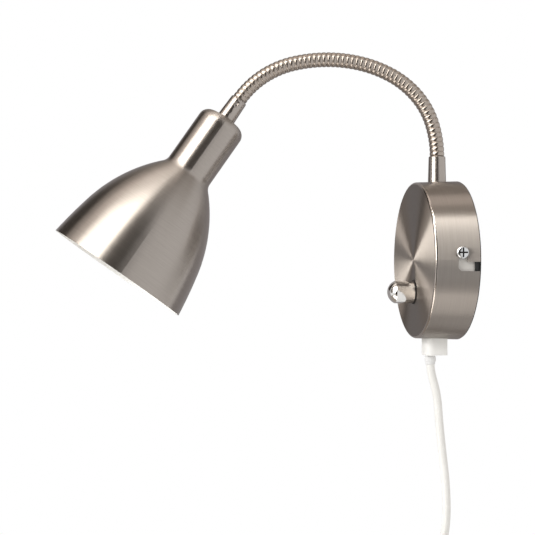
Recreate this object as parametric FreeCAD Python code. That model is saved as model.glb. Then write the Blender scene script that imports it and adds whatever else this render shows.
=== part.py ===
import FreeCAD
import Part
import math
import os
from FreeCAD import Placement, Rotation, Vector

# Bedside wall reading lamp: a round drum base that hooks on a wall bracket, a ribbed gooseneck
# and a bell-shaped spun shade, with a dimmer knob on the drum's face and a cord with a plug below.
# Millimetres. The wall is the plane Y = 0, the room is on -Y and +Z is up. The origin is the middle
# of the base on the wall. Each function below makes one sub-part in its place on the lamp.

# ---------------------------------------------------------------- driving dimensions

# Clearances
SEAT_GAP = 0.05          # between pieces that sit in or on each other
SLIDE_GAP = 0.15         # between pieces that are put in by hand
RUNNING_GAP = 0.05       # radial, between a shaft and its bush
THREAD_GAP = 0.05        # radial, between a plain-modelled thread and its hole
SOFT_GAP = 0.3           # round soft or loose pieces

# Base cover: a drawn steel cup with its open side on the wall
BASE_RADIUS = 50.0       # at the rear rim
BASE_DRAFT = 0.9         # how much smaller the radius is at the front face
COVER_DEPTH = 27.4       # from the rear rim to the front face
COVER_WALL = 1.0
COVER_EDGE_RADIUS = 1.4  # rounding between the side and the front face

# Back plate: a black tray under the cover
PLATE_FLANGE = 0.6       # thickness of the flange that the cover's rim stands on
PLATE_FLANGE_INSET = 0.4 # from the cover's outer edge
PLATE_FLOOR = 2.0
PLATE_RIM_WALL = 1.0
PLATE_RIM_HEIGHT = 3.3   # from the wall to the rim's front edge
PLATE_RIM_GAP = 0.4      # radial, inside the cover

# Wall bracket: a bent steel strip with an ear at each end
BRACKET_SHEET = 1.5
BRACKET_WIDTH = 17.0
BRACKET_EAR_REACH = 17.2 # from the wall to the ears' front edge
WALL_SCREW_SPACING = 60.0
WALL_SCREW_SLOT_WIDTH = 4.6
WALL_SCREW_SLOT_LENGTH = 9.0

# L-shaped slots and the two screws that lock the cover on the ears
SLOT_WIDTH = 5.6
SLOT_ENTRY_DROP = 3.9    # from the middle height to the leg that opens at the rim
SLOT_LEG_BACK = 10.6     # from the rear rim to the upright leg's middle
LOCK_RISE = 4.5          # from the middle height to the screw
LOCK_BACK = 11.2         # from the rear rim to the screw
LOCK_SCREW_RADIUS = 2.0
LOCK_SCREW_REACH = 7.5   # shank under the head
LOCK_HEAD_RADIUS = 3.9
LOCK_HEAD_HEIGHT = 2.4
LOCK_HEAD_EDGE = 0.9     # upright part of the head under its dome
RECESS_WIDTH = 0.9
RECESS_SPAN = 4.4
RECESS_DEPTH = 1.3

# Sleeves that hold the gooseneck, one in the base and one in the shade
ARM_BACK = 12.6          # from the wall to the arm's upright start
SLEEVE_LENGTH_BASE = 16.9
SLEEVE_LENGTH_HEAD = 15.2
SLEEVE_RADIUS_HOSE = 5.25
SLEEVE_RADIUS_FOOT = 5.75
SLEEVE_CHAMFER = 0.5
SLEEVE_SEAT_DEPTH = 9.0  # how deep the hose sits in its sleeve
THREAD_RADIUS = 4.95     # M10 x 1 end of a sleeve
THREAD_LENGTH = 11.5
THREAD_BORE = 3.0
THREAD_NUT_FLATS = 14.0
THREAD_NUT_HEIGHT = 3.0
THREAD_WASHER_RADIUS = 8.0
THREAD_WASHER_HEIGHT = 0.9

# Gooseneck: a ribbed steel hose, cut where its bends are lumped
HOSE_RADIUS = 4.6        # over the ribs
HOSE_VALLEY_DEPTH = 0.5
HOSE_BORE = 2.75
HOSE_END_RADIUS = 4.1
RIBS_PER_STRETCH = 7
RIB_PITCH = 3.0
RIB_SHARES = (0.06, 0.26, 0.74, 0.94)   # foot, crest, crest, foot along one pitch
NECK_TURNS = (18.0, 25.0, 21.0, 15.0, 13.0, 12.0, 20.0, 21.0)   # degrees, one per stretch
LEAD_RADIUS = 1.0
LEAD_SPACING = 2.3       # between the two lamp leads

# Shade: spun steel, a round neck and a bell
NECK_RADIUS = 15.1
NECK_TOP_ROUNDING = 6.0
NECK_LENGTH = 42.8       # from the neck's top to the foot of the bell
BELL_LENGTH = 72.5
BELL_RIM_RADIUS = 45.2
BELL_RIM_SLOPE = 7.0     # degrees from the axis at the rim
BELL_LOWER_ARC = 300.0   # radius of the flat arc above the rim
BELL_LOWER_LENGTH = 27.0
BELL_FOOT_STEP = 1.7     # how far the hollow curve at the bell's foot stands out from the neck
SHADE_WALL = 0.9

# Lampholder for a small screw cap and its bulb
HOLDER_RADIUS = 12.6
HOLDER_WALL = 2.0
HOLDER_CAP_LENGTH = 14.0
HOLDER_BODY_LENGTH = 27.0
HOLDER_FLOOR = 3.0
SHELL_WALL = 0.4
SHELL_LENGTH = 18.0
SHELL_RISE = 5.0         # from the holder's floor to the shell
CONTACT_LENGTH = 9.0
CONTACT_WIDTH = 4.0
CONTACT_SHEET = 0.5
CONTACT_HEIGHT = 1.6
BULB_THREAD_RADIUS = 6.9
BULB_CAP_LENGTH = 21.0
BULB_CAP_WALL = 0.6
BULB_TIP_RADIUS = 2.4
BULB_TIP_HEIGHT = 1.8
BULB_NECK_RADIUS = 8.5
BULB_STEM_RADIUS = 3.0   # hole in the globe's floor, over the cap
BULB_RADIUS = 22.5
BULB_LENGTH = 78.0
BULB_WALL = 1.0
HEAD_LEAD_SPREAD = 6.0   # from the middle to each lead at the lampholder

# Dimmer behind the drum's face, and its knob
KNOB_RISE = 30.0         # from the drum's underside up to the knob
KNOB_RADIUS = 7.0
KNOB_LENGTH = 11.4
KNOB_DOME = 4.5
KNOB_SKIRT_WALL = 0.9
KNOB_SKIRT_DEPTH = 4.8
KNOB_LIFT = 0.3          # between the knob and the washer at its foot
FACE_WASHER_RADIUS = 7.5
FACE_WASHER_HEIGHT = 0.5
BUSH_RADIUS = 3.45
BUSH_LENGTH = 5.2        # in front of the drum's face
BUSH_NUT_FLATS = 10.0
BUSH_NUT_HEIGHT = 2.0
SHAFT_RADIUS = 3.0
SHAFT_REACH = 11.5       # in front of the drum's face
SHAFT_FLAT_DEPTH = 1.5
SHAFT_COLLAR_RADIUS = 4.4
SHAFT_COLLAR_HEIGHT = 1.2
POT_RADIUS = 8.2
POT_WALL = 1.5
CASE_LEFT = 17.0
CASE_RIGHT = 18.0
CASE_HEIGHT = 26.0
CASE_RISE = 13.0         # from the knob's axis to the case's top
CASE_DEPTH = 13.0
CASE_WALL = 1.4
BOARD_THICKNESS = 1.6

# Terminal block beside the dimmer
TRAY_WIDTH = 17.0
TRAY_THICKNESS = 1.7
TERMINAL_WIDTH = 14.0
TERMINAL_HEIGHT = 16.0
TERMINAL_DEPTH = 10.5
TERMINAL_POLES = 2
TERMINAL_TOP_DROP = 5.0  # from the case's top to the block's top
TUBE_RADIUS = 2.1
TUBE_BORE = 1.4
TUBE_LENGTH = 14.0
TERMINAL_SCREW_RADIUS = 1.2
TERMINAL_SCREW_LENGTH = 4.6
TERMINAL_SCREW_PITCH = 8.0
TERMINAL_TUBE_BACK = 5.0 # from the block's rear face to the tubes' middle

# Cord grip under the drum
GRIP_WIDTH = 16.0
GRIP_DEPTH = 13.6
GRIP_CORNER = 5.4        # rounding of the front corners
GRIP_REAR_CORNER = 0.8
GRIP_FRONT = 21.6        # from the wall to the block's front
GRIP_REACH = 9.6         # below the drum
GRIP_FLANGE = 1.6
GRIP_FLANGE_OVERHANG = 1.4
GRIP_INSIDE = 10.0       # how far the block reaches into the drum
GRIP_CORD_BACK = 17.0    # from the wall to the cord's middle
CLAMP_THICKNESS = 2.8
CLAMP_HEIGHT = 4.4
CLAMP_DROP = 0.9         # from the block's inner end to the clamp
CLAMP_SCREW_OFFSET = 5.0
CLAMP_SCREW_RADIUS = 1.2
CLAMP_SCREW_LENGTH = 7.4
CLAMP_HOLE_STOP = 2.5    # left between the screw holes and the block's front
CLAMP_HEAD_RADIUS = 2.2
CLAMP_HEAD_HEIGHT = 1.4

# Cord, its short ribbed sleeve, its hank and its plug
CORD_RADIUS = 2.6
SLEEVE_RIB_RADIUS = 3.05
SLEEVE_GROOVE_RADIUS = 2.85
CORD_SLEEVE_BELOW = 6.0
CORD_SLEEVE_INSIDE = 4.0
CORD_EXIT_CUT_BACK = 3.8 # where the cord's first bend starts, before its corner
CORE_RADIUS = 0.95
CORE_SPACING = 2.0
SHEATH_INSIDE = 10.4     # how far the cord's sheath reaches into the drum
CORD_ROUTE = (           # x, y and the height under the drum's underside
    (0.0, -17.0, SHEATH_INSIDE),
    (0.0, -17.0, -19.5),
    (0.0, -12.5, -34.5),
    (-0.5, -10.9, -54.0),
    (-2.0, -9.9, -71.0),
    (-8.0, -5.2, -92.0),
    (-17.0, -3.6, -116.0),
    (-27.2, -3.6, -140.0),
    (-27.2, -3.6, -160.0),
)
HANK_RUNS = 9            # upright runs, four and a half loops in two layers
HANK_HALF_RUN = 42.0
HANK_STEP = 6.6          # between neighbouring runs of one layer
HANK_DRAW_IN = 10.5      # how far each run is pulled in at the waist
HANK_LAYER_STEP = 5.9
HANK_TAIL = 31.0         # from the last loop to the plug
TIE_WIDTH = 6.0
TIE_THICKNESS = 0.8
PLUG_WIDTH = 35.3
PLUG_THICKNESS = 13.7
PLUG_LENGTH = 36.0
PLUG_SHOULDER = 12.0     # tapered part next to the cord
PLUG_NECK_RADIUS = 4.6
PIN_RADIUS = 2.0
PIN_LENGTH = 19.0
PIN_TIP_ROUNDING = 1.2
PIN_SPACING = 18.6
PIN_SLEEVE_LENGTH = 10.0
PIN_CORE_RADIUS = 1.4    # under the sleeve and inside the plug
PIN_ROOT = 6.0           # inside the plug

# ---------------------------------------------------------------- worked-out places

RIM_Y = -PLATE_FLANGE
FACE_Y = RIM_Y - COVER_DEPTH
FACE_INNER_Y = FACE_Y + COVER_WALL
FACE_RADIUS = BASE_RADIUS - BASE_DRAFT
ARM_Y = -ARM_BACK
SLOT_LEG_Y = RIM_Y - SLOT_LEG_BACK
LOCK_Y = RIM_Y - LOCK_BACK
KNOB_Z = KNOB_RISE - BASE_RADIUS
GRIP_CORD_Y = -GRIP_CORD_BACK
NECK_STRETCH = RIBS_PER_STRETCH * RIB_PITCH
HEAD_TURN = sum(NECK_TURNS)
CORD_BORE = CORD_RADIUS + RUNNING_GAP
CORD_POINTS = [(x, y, z - BASE_RADIUS) for x, y, z in CORD_ROUTE]
LEAD_X = LEAD_SPACING / 2


def cover_radius(y):
    """Outer radius of the drum at a distance y from the wall, on its slightly tapered side."""
    return BASE_RADIUS - BASE_DRAFT * (RIM_Y - y) / COVER_DEPTH


NECK_START_Z = cover_radius(ARM_Y) - 0.8 + SLEEVE_LENGTH_BASE
SHADE_TOP = SLEEVE_LENGTH_HEAD
SHADE_INNER_TOP = SHADE_TOP + SHADE_WALL
BELL_START = SHADE_TOP + NECK_LENGTH
RIM_AT = BELL_START + BELL_LENGTH
CASE_TOP = KNOB_Z + CASE_RISE
CASE_BOTTOM = CASE_TOP - CASE_HEIGHT
CASE_REAR_Y = FACE_INNER_Y + CASE_DEPTH
TRAY_REAR_Y = FACE_INNER_Y + TRAY_THICKNESS
TERMINAL_X = CASE_RIGHT + TRAY_WIDTH / 2
TERMINAL_TOP = CASE_TOP - TERMINAL_TOP_DROP
TERMINAL_BOTTOM = TERMINAL_TOP - TERMINAL_HEIGHT
TERMINAL_REAR_Y = TRAY_REAR_Y + TERMINAL_DEPTH
TERMINAL_TUBE_Y = TERMINAL_REAR_Y - TERMINAL_TUBE_BACK
GRIP_FRONT_Y = -GRIP_FRONT
GRIP_REAR_Y = GRIP_FRONT_Y + GRIP_DEPTH
GRIP_BOTTOM = -(BASE_RADIUS + GRIP_REACH)
GRIP_TOP = GRIP_INSIDE - BASE_RADIUS
EAR_RADIUS = BASE_RADIUS - COVER_WALL - PLATE_RIM_GAP - PLATE_RIM_WALL
EAR_X = math.sqrt(EAR_RADIUS ** 2 - (BRACKET_WIDTH / 2) ** 2) - SEAT_GAP

# ---------------------------------------------------------------- helpers


def box(x0, x1, y0, y1, z0, z1):
    return Part.makeBox(x1 - x0, y1 - y0, z1 - z0, Vector(x0, y0, z0))


def rod(radius, start, end):
    """A round bar from one point to another."""
    way = Vector(*end) - Vector(*start)
    return Part.makeCylinder(radius, way.Length, Vector(*start), way)


def ring(outer, inner, start, end):
    return rod(outer, start, end).cut(rod(inner, start, end))


def turned(profile, axis):
    """A solid of revolution. profile holds (radius, height) corners, or (radius, height, 'via')
    for the middle of an arc; the axis is 'y' or 'z' through the origin."""
    if axis == "y":
        points = [(Vector(p[0], p[1], 0), len(p) > 2) for p in profile]
    else:
        points = [(Vector(p[0], 0, p[1]), len(p) > 2) for p in profile]
    edges = []
    count = len(points)
    i = 0
    while i < count:
        here = points[i][0]
        after, is_via = points[(i + 1) % count]
        if is_via:
            edges.append(Part.Arc(here, after, points[(i + 2) % count][0]).toShape())
            i += 2
        else:
            edges.append(Part.LineSegment(here, after).toShape())
            i += 1
    face = Part.Face(Part.Wire(edges))
    about = Vector(0, 1, 0) if axis == "y" else Vector(0, 0, 1)
    return face.revolve(Vector(0, 0, 0), about, 360)


def corner_via(centre, radius, degrees):
    """The middle point of an arc, marked for turned()."""
    turn = math.radians(degrees)
    return (centre[0] + radius * math.cos(turn), centre[1] + radius * math.sin(turn), "via")


def rounded_plate(x0, x1, y0, y1, front_radius, rear_radius):
    """A face in the XY plane with two rounded front corners and two rounded rear corners."""
    corners = ((x0, y0, 180), (x1, y0, 270), (x1, y1, 0), (x0, y1, 90))
    radii = (front_radius, front_radius, rear_radius, rear_radius)
    edges = []
    last = None
    first = None
    for (x, y, start), radius in zip(corners, radii):
        centre = Vector(x + (radius if x == x0 else -radius), y + (radius if y == y0 else -radius), 0)
        bend = [
            centre + Vector(radius * math.cos(a), radius * math.sin(a), 0)
            for a in (math.radians(start + step) for step in (0, 45, 90))
        ]
        if last is not None:
            edges.append(Part.LineSegment(last, bend[0]).toShape())
        edges.append(Part.Arc(*bend).toShape())
        first = first or bend[0]
        last = bend[2]
    edges.append(Part.LineSegment(last, first).toShape())
    return Part.Face(Part.Wire(edges))


def prism(face, z0, z1):
    """The XY face raised from z0 to z1."""
    lifted = face.copy()
    lifted.translate(Vector(0, 0, z0))
    return lifted.extrude(Vector(0, 0, z1 - z0))


def hexagon(flats, height, bore):
    """A nut standing on the XY plane."""
    corner = flats / math.sqrt(3)
    points = [
        Vector(corner * math.cos(math.radians(a)), corner * math.sin(math.radians(a)), 0)
        for a in range(0, 361, 60)
    ]
    nut = Part.Face(Part.makePolygon(points)).extrude(Vector(0, 0, height))
    return nut.cut(Part.makeCylinder(bore, height))


def fuse(shapes):
    whole = shapes[0]
    for shape in shapes[1:]:
        whole = whole.fuse(shape)
    return whole.removeSplitter()


def group(shapes):
    return Part.makeCompound(shapes)


def half_turned(shape):
    """A copy on the other side of the drum, turned half round the drum's axis."""
    other = shape.copy()
    other.rotate(Vector(0, 0, 0), Vector(0, 1, 0), 180)
    return other


def rounded_path(points, first_cut_back=None):
    """Straight runs joined by tangent arcs, each as large as its two runs allow; the first arc can
    be held shorter. Returns the wire and the arcs' radii."""
    corners = [Vector(*p) for p in points]
    edges = []
    radii = []
    last = corners[0]
    for before, corner, after in zip(corners, corners[1:], corners[2:]):
        come = (before - corner).normalize()
        go = (after - corner).normalize()
        half = (math.pi - come.getAngle(go)) / 2
        shorter = min(before.distanceToPoint(corner), after.distanceToPoint(corner))
        cut_back = 0.45 * shorter
        if first_cut_back and not radii:
            cut_back = first_cut_back
        radius = cut_back / math.tan(half)
        start = corner + come * cut_back
        end = corner + go * cut_back
        bisector = (come + go).normalize()
        middle = corner + bisector * (radius / math.cos(half) - radius)
        edges.append(Part.LineSegment(last, start).toShape())
        edges.append(Part.Arc(start, middle, end).toShape())
        radii.append(radius)
        last = end
    edges.append(Part.LineSegment(last, corners[-1]).toShape())
    return Part.Wire(edges), radii


def swept(wire, radius):
    """A round tube along a wire, closed at both ends."""
    start = wire.Edges[0].valueAt(wire.Edges[0].FirstParameter)
    along = wire.Edges[0].tangentAt(wire.Edges[0].FirstParameter)
    section = Part.Wire(Part.Circle(start, along, radius).toShape())
    return wire.makePipeShell([section], True, False)


def tube(points, radius):
    return swept(rounded_path(points)[0], radius)


# ---------------------------------------------------------------- the gooseneck's line


def step_along(start, length, turn):
    """The place after an arc that leaves start along its local Z and turns about its local X."""
    angle = math.radians(turn)
    bend_radius = length / angle
    shift = Vector(0, -bend_radius * (1 - math.cos(angle)), bend_radius * math.sin(angle))
    return start.multiply(Placement(shift, Rotation(Vector(1, 0, 0), turn)))


def neck_places():
    """Places at the gooseneck's start and after each stretch; local Z runs along the arm and local
    X stays the lamp's X."""
    places = [Placement(Vector(0, ARM_Y, NECK_START_Z), Rotation())]
    for turn in NECK_TURNS:
        places.append(step_along(places[-1], NECK_STRETCH, turn))
    return places


NECK_PLACES = neck_places()
HEAD_PLACE = NECK_PLACES[-1]


def on_head(shape):
    """Puts a shape modelled along its own Z on the lamp's head; Z = 0 is the gooseneck's end."""
    placed = shape.copy()
    placed.Placement = HEAD_PLACE.multiply(placed.Placement)
    return placed


def circle_at(place, radius):
    """A circle round the arm at a place, its seam always on the lamp's X side."""
    circle = Part.Wire(Part.Circle(Vector(0, 0, 0), Vector(0, 0, 1), radius).toShape())
    circle.Placement = place
    return circle


def bent_rod(number, radius, x):
    """A round bar along one stretch of the arm, x beside its middle."""
    turn = NECK_TURNS[number]
    bend_radius = NECK_STRETCH / math.radians(turn)
    section = Part.Face(Part.Wire(Part.Circle(Vector(x, 0, 0), Vector(0, 0, 1), radius).toShape()))
    bar = section.revolve(Vector(0, -bend_radius, 0), Vector(1, 0, 0), turn)
    bar.Placement = NECK_PLACES[number].multiply(bar.Placement)
    return bar


def neck_stretch(number):
    """One stretch of the ribbed hose, with its bore; the first and last have a plain straight end
    that sits in a sleeve."""
    start = NECK_PLACES[number]
    turn = NECK_TURNS[number]
    foot = HOSE_RADIUS - HOSE_VALLEY_DEPTH
    circles = [circle_at(start, foot)]
    for rib in range(RIBS_PER_STRETCH):
        for share, radius in zip(RIB_SHARES, (foot, HOSE_RADIUS, HOSE_RADIUS, foot)):
            distance = (rib + share) * RIB_PITCH
            here = step_along(start, distance, turn * distance / NECK_STRETCH)
            circles.append(circle_at(here, radius))
    circles.append(circle_at(NECK_PLACES[number + 1], foot))
    hose = Part.makeLoft(circles, True, True)
    hose = hose.cut(bent_rod(number, HOSE_BORE, 0))
    if number == 0:
        end = ring(HOSE_END_RADIUS, HOSE_BORE, (0, 0, -SLEEVE_SEAT_DEPTH), (0, 0, 0))
        end.Placement = start
        hose = hose.fuse(end)
    if number == len(NECK_TURNS) - 1:
        end = on_head(ring(HOSE_END_RADIUS, HOSE_BORE, (0, 0, 0), (0, 0, SLEEVE_SEAT_DEPTH)))
        hose = hose.fuse(end)
    return hose


def neck_lead(number):
    """The two insulated lamp leads inside one stretch."""
    return group([bent_rod(number, LEAD_RADIUS, side * LEAD_X) for side in (-1, 1)])


# ---------------------------------------------------------------- base cover and what it hooks on


def base_profile(radius_less, face_y, corner):
    """Half outline of the drum, made smaller all round for its inner side."""
    rear = BASE_RADIUS - radius_less
    front = FACE_RADIUS - radius_less
    centre = (front - corner, face_y + corner)
    return [
        (0, face_y),
        (front - corner, face_y),
        corner_via(centre, corner, -45),
        (front, face_y + corner),
        (rear, RIM_Y),
        (0, RIM_Y),
    ]


def slot_cutter():
    """The L-shaped cut-out: in from the rear rim, then up to the locking screw."""
    half = SLOT_WIDTH / 2
    x0 = BASE_RADIUS - 8 * COVER_WALL
    x1 = BASE_RADIUS + COVER_WALL
    entry = box(x0, x1, SLOT_LEG_Y, RIM_Y + COVER_WALL, -SLOT_ENTRY_DROP - half, -SLOT_ENTRY_DROP + half)
    leg = box(x0, x1, SLOT_LEG_Y - half, SLOT_LEG_Y + half, -SLOT_ENTRY_DROP, LOCK_RISE)
    corner = rod(half, (x0, SLOT_LEG_Y, -SLOT_ENTRY_DROP), (x1, SLOT_LEG_Y, -SLOT_ENTRY_DROP))
    top = rod(half, (x0, SLOT_LEG_Y, LOCK_RISE), (x1, SLOT_LEG_Y, LOCK_RISE))
    return fuse([entry, leg, corner, top])


def grip_outline(extra):
    return rounded_plate(
        -GRIP_WIDTH / 2 - extra,
        GRIP_WIDTH / 2 + extra,
        GRIP_FRONT_Y - extra,
        GRIP_REAR_Y + extra,
        GRIP_CORNER + extra,
        GRIP_REAR_CORNER + extra,
    )


def base_cover():
    cup = turned(base_profile(0, FACE_Y, COVER_EDGE_RADIUS), "y")
    inner_corner = max(COVER_EDGE_RADIUS - COVER_WALL, 0.2)
    cup = cup.cut(turned(base_profile(COVER_WALL, FACE_INNER_Y, inner_corner), "y"))
    slot = slot_cutter()
    cup = cup.cut(slot).cut(half_turned(slot))
    sleeve_hole = rod(THREAD_RADIUS + SLIDE_GAP, (0, ARM_Y, 0), (0, ARM_Y, BASE_RADIUS + COVER_WALL))
    bush_hole = rod(
        BUSH_RADIUS + SLIDE_GAP, (0, FACE_Y - COVER_WALL, KNOB_Z), (0, FACE_INNER_Y + COVER_WALL, KNOB_Z)
    )
    grip_hole = prism(grip_outline(SLIDE_GAP), -BASE_RADIUS - COVER_WALL, -BASE_RADIUS / 2)
    return cup.cut(sleeve_hole).cut(bush_hole).cut(grip_hole)


def wall_screw_slots(y0, y1):
    """Two level slots for the wall screws."""
    half = WALL_SCREW_SLOT_WIDTH / 2
    straight = WALL_SCREW_SLOT_LENGTH / 2 - half
    slots = []
    for side in (-1, 1):
        x = side * WALL_SCREW_SPACING / 2
        slots.append(
            fuse(
                [
                    box(x - straight, x + straight, y0, y1, -half, half),
                    rod(half, (x - straight, y0, 0), (x - straight, y1, 0)),
                    rod(half, (x + straight, y0, 0), (x + straight, y1, 0)),
                ]
            )
        )
    return slots


def back_plate():
    inner = BASE_RADIUS - COVER_WALL - PLATE_RIM_GAP
    flange = rod(BASE_RADIUS - PLATE_FLANGE_INSET, (0, -PLATE_FLANGE, 0), (0, 0, 0))
    tray = rod(inner, (0, -PLATE_RIM_HEIGHT, 0), (0, 0, 0))
    hollow = rod(inner - PLATE_RIM_WALL, (0, -PLATE_RIM_HEIGHT, 0), (0, -PLATE_FLOOR, 0))
    plate = fuse([flange, tray]).cut(hollow)
    for slot in wall_screw_slots(-PLATE_FLOOR, 0):
        plate = plate.cut(slot)
    return plate


def wall_bracket():
    half = BRACKET_WIDTH / 2
    strip = box(-EAR_X, EAR_X, -PLATE_FLOOR - BRACKET_SHEET, -PLATE_FLOOR, -half, half)
    parts = [strip]
    for side in (-1, 1):
        x0, x1 = sorted((side * EAR_X, side * (EAR_X - BRACKET_SHEET)))
        ear = box(x0, x1, -BRACKET_EAR_REACH, -PLATE_FLOOR, -half, half)
        parts.append(ear)
    bracket = fuse(parts)
    for slot in wall_screw_slots(-PLATE_FLOOR - BRACKET_SHEET, -PLATE_FLOOR):
        bracket = bracket.cut(slot)
    hole = rod(
        LOCK_SCREW_RADIUS + THREAD_GAP,
        (EAR_X - 2 * BRACKET_SHEET, LOCK_Y, LOCK_RISE),
        (EAR_X + BRACKET_SHEET, LOCK_Y, LOCK_RISE),
    )
    return bracket.cut(hole).cut(half_turned(hole))


def lock_screw():
    """A pan-head screw with a cross recess, through the cover's slot into the bracket's ear."""
    dome_rise = LOCK_HEAD_HEIGHT - LOCK_HEAD_EDGE
    dome_via = (LOCK_HEAD_RADIUS * 0.72, LOCK_HEAD_EDGE + dome_rise * 0.72, "via")
    screw = turned(
        [
            (0, -LOCK_SCREW_REACH),
            (LOCK_SCREW_RADIUS, -LOCK_SCREW_REACH),
            (LOCK_SCREW_RADIUS, 0),
            (LOCK_HEAD_RADIUS, 0),
            (LOCK_HEAD_RADIUS, LOCK_HEAD_EDGE),
            dome_via,
            (0, LOCK_HEAD_HEIGHT),
        ],
        "z",
    )
    half_span = RECESS_SPAN / 2
    half_width = RECESS_WIDTH / 2
    top = 2 * LOCK_HEAD_HEIGHT
    floor = LOCK_HEAD_HEIGHT - RECESS_DEPTH
    cross = fuse(
        [
            box(-half_span, half_span, -half_width, half_width, floor, top),
            box(-half_width, half_width, -half_span, half_span, floor, top),
        ]
    )
    screw = screw.cut(cross)
    seat = cover_radius(LOCK_Y + LOCK_HEAD_RADIUS)
    screw.Placement = Placement(Vector(seat, LOCK_Y, LOCK_RISE), Rotation(Vector(0, 1, 0), 90))
    return screw


def lock_screws():
    screw = lock_screw()
    return group([screw, half_turned(screw)])


# ---------------------------------------------------------------- sleeves, nuts and washers


def sleeve(visible_length):
    """A tapered sleeve on a threaded end. Z = 0 is the hose's mouth, the thread points to +Z."""
    foot = visible_length
    end = visible_length + THREAD_LENGTH
    outer = turned(
        [
            (0, 0),
            (SLEEVE_RADIUS_HOSE - SLEEVE_CHAMFER, 0),
            (SLEEVE_RADIUS_HOSE, SLEEVE_CHAMFER),
            (SLEEVE_RADIUS_FOOT, foot),
            (THREAD_RADIUS, foot),
            (THREAD_RADIUS, end),
            (0, end),
        ],
        "z",
    )
    seat = rod(HOSE_END_RADIUS + SEAT_GAP, (0, 0, 0), (0, 0, SLEEVE_SEAT_DEPTH))
    bore = rod(THREAD_BORE, (0, 0, 0), (0, 0, end))
    return outer.cut(seat).cut(bore)


def base_sleeve():
    """Stands on the drum's round side, its foot cut to the drum."""
    reach = NECK_START_Z - cover_radius(ARM_Y) + 2 * COVER_WALL
    piece = sleeve(reach)
    piece.Placement = Placement(Vector(0, ARM_Y, NECK_START_Z), Rotation(Vector(1, 0, 0), 180))
    drum = turned(base_profile(0, FACE_Y, COVER_EDGE_RADIUS), "y")
    neck = rod(THREAD_RADIUS, (0, ARM_Y, 0), (0, ARM_Y, BASE_RADIUS))
    return piece.cut(drum.cut(neck))


def cover_inner_at(x):
    """Height of the cover's inner side above the sleeve's nut, x beside the middle."""
    return math.sqrt((cover_radius(ARM_Y) - COVER_WALL) ** 2 - x ** 2)


def sleeve_washer():
    top = cover_inner_at(THREAD_WASHER_RADIUS) - SEAT_GAP
    return ring(
        THREAD_WASHER_RADIUS,
        THREAD_RADIUS + SLIDE_GAP,
        (0, ARM_Y, top - THREAD_WASHER_HEIGHT),
        (0, ARM_Y, top),
    )


def sleeve_nut():
    top = cover_inner_at(THREAD_WASHER_RADIUS) - SEAT_GAP - THREAD_WASHER_HEIGHT
    nut = hexagon(THREAD_NUT_FLATS, THREAD_NUT_HEIGHT, THREAD_RADIUS + THREAD_GAP)
    nut.translate(Vector(0, ARM_Y, top - THREAD_NUT_HEIGHT))
    return nut


def head_sleeve():
    return on_head(sleeve(SLEEVE_LENGTH_HEAD))


def head_washer():
    return on_head(
        ring(
            THREAD_WASHER_RADIUS,
            THREAD_RADIUS + SLIDE_GAP,
            (0, 0, SHADE_INNER_TOP),
            (0, 0, SHADE_INNER_TOP + THREAD_WASHER_HEIGHT),
        )
    )


HEAD_NUT_AT = SHADE_INNER_TOP + THREAD_WASHER_HEIGHT


def head_nut():
    nut = hexagon(THREAD_NUT_FLATS, THREAD_NUT_HEIGHT, THREAD_RADIUS + THREAD_GAP)
    nut.translate(Vector(0, 0, HEAD_NUT_AT))
    return on_head(nut)


# ---------------------------------------------------------------- shade


def arc_step(radius, start_slope, along):
    """How far an arc has come in and what its slope is, a given way along the axis."""
    slope = math.asin(math.sin(start_slope) + along / radius)
    return radius * (math.cos(start_slope) - math.cos(slope)), slope


def arc_radius(start_slope, along, inward):
    """Radius of the arc that starts at a slope and ends a given way along and inward."""
    reach = along ** 2 + inward ** 2
    return reach / (2 * (inward * math.cos(start_slope) - along * math.sin(start_slope)))


def shade_outline(less):
    """The shade's half outline from the rim up to the middle of the neck's top, made smaller all
    round by less for the inner side. Heights run from the gooseneck's end to the rim."""
    rim_slope = math.radians(BELL_RIM_SLOPE)
    upper_length = BELL_LENGTH - BELL_LOWER_LENGTH
    lower_in, middle_slope = arc_step(BELL_LOWER_ARC, rim_slope, BELL_LOWER_LENGTH)
    lower_half, lower_half_slope = arc_step(BELL_LOWER_ARC, rim_slope, BELL_LOWER_LENGTH / 2)
    middle_radius = BELL_RIM_RADIUS - lower_in
    foot_radius = NECK_RADIUS + BELL_FOOT_STEP
    upper_arc = arc_radius(middle_slope, upper_length, middle_radius - foot_radius)
    upper_half, upper_half_slope = arc_step(upper_arc, middle_slope, upper_length / 2)
    foot_slope = arc_step(upper_arc, middle_slope, upper_length)[1]
    hollow = BELL_FOOT_STEP / (1 - math.cos(foot_slope))
    hollow_half = hollow * (1 - math.cos(foot_slope / 2))
    hollow_start = BELL_START - hollow * math.sin(foot_slope)

    def inward(radius, height, slope):
        return (radius - less * math.cos(slope), height + less * math.sin(slope))

    rim = inward(BELL_RIM_RADIUS, RIM_AT, rim_slope)
    lower_via = inward(
        BELL_RIM_RADIUS - lower_half, RIM_AT - BELL_LOWER_LENGTH / 2, lower_half_slope
    ) + ("via",)
    middle = inward(middle_radius, RIM_AT - BELL_LOWER_LENGTH, middle_slope)
    upper_via = inward(
        middle_radius - upper_half, RIM_AT - BELL_LOWER_LENGTH - upper_length / 2, upper_half_slope
    ) + ("via",)
    foot = inward(foot_radius, BELL_START, foot_slope)
    hollow_via = inward(
        NECK_RADIUS + hollow_half, hollow_start + hollow * math.sin(foot_slope / 2), foot_slope / 2
    ) + ("via",)
    neck = NECK_RADIUS - less
    rounding = NECK_TOP_ROUNDING - less
    top_height = SHADE_TOP + less
    centre = (neck - rounding, top_height + rounding)
    return [
        rim,
        lower_via,
        middle,
        upper_via,
        foot,
        hollow_via,
        (neck, hollow_start),
        (neck, top_height + rounding),
        corner_via(centre, rounding, -45),
        (neck - rounding, top_height),
        (0, top_height),
    ], rim[1]


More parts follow.
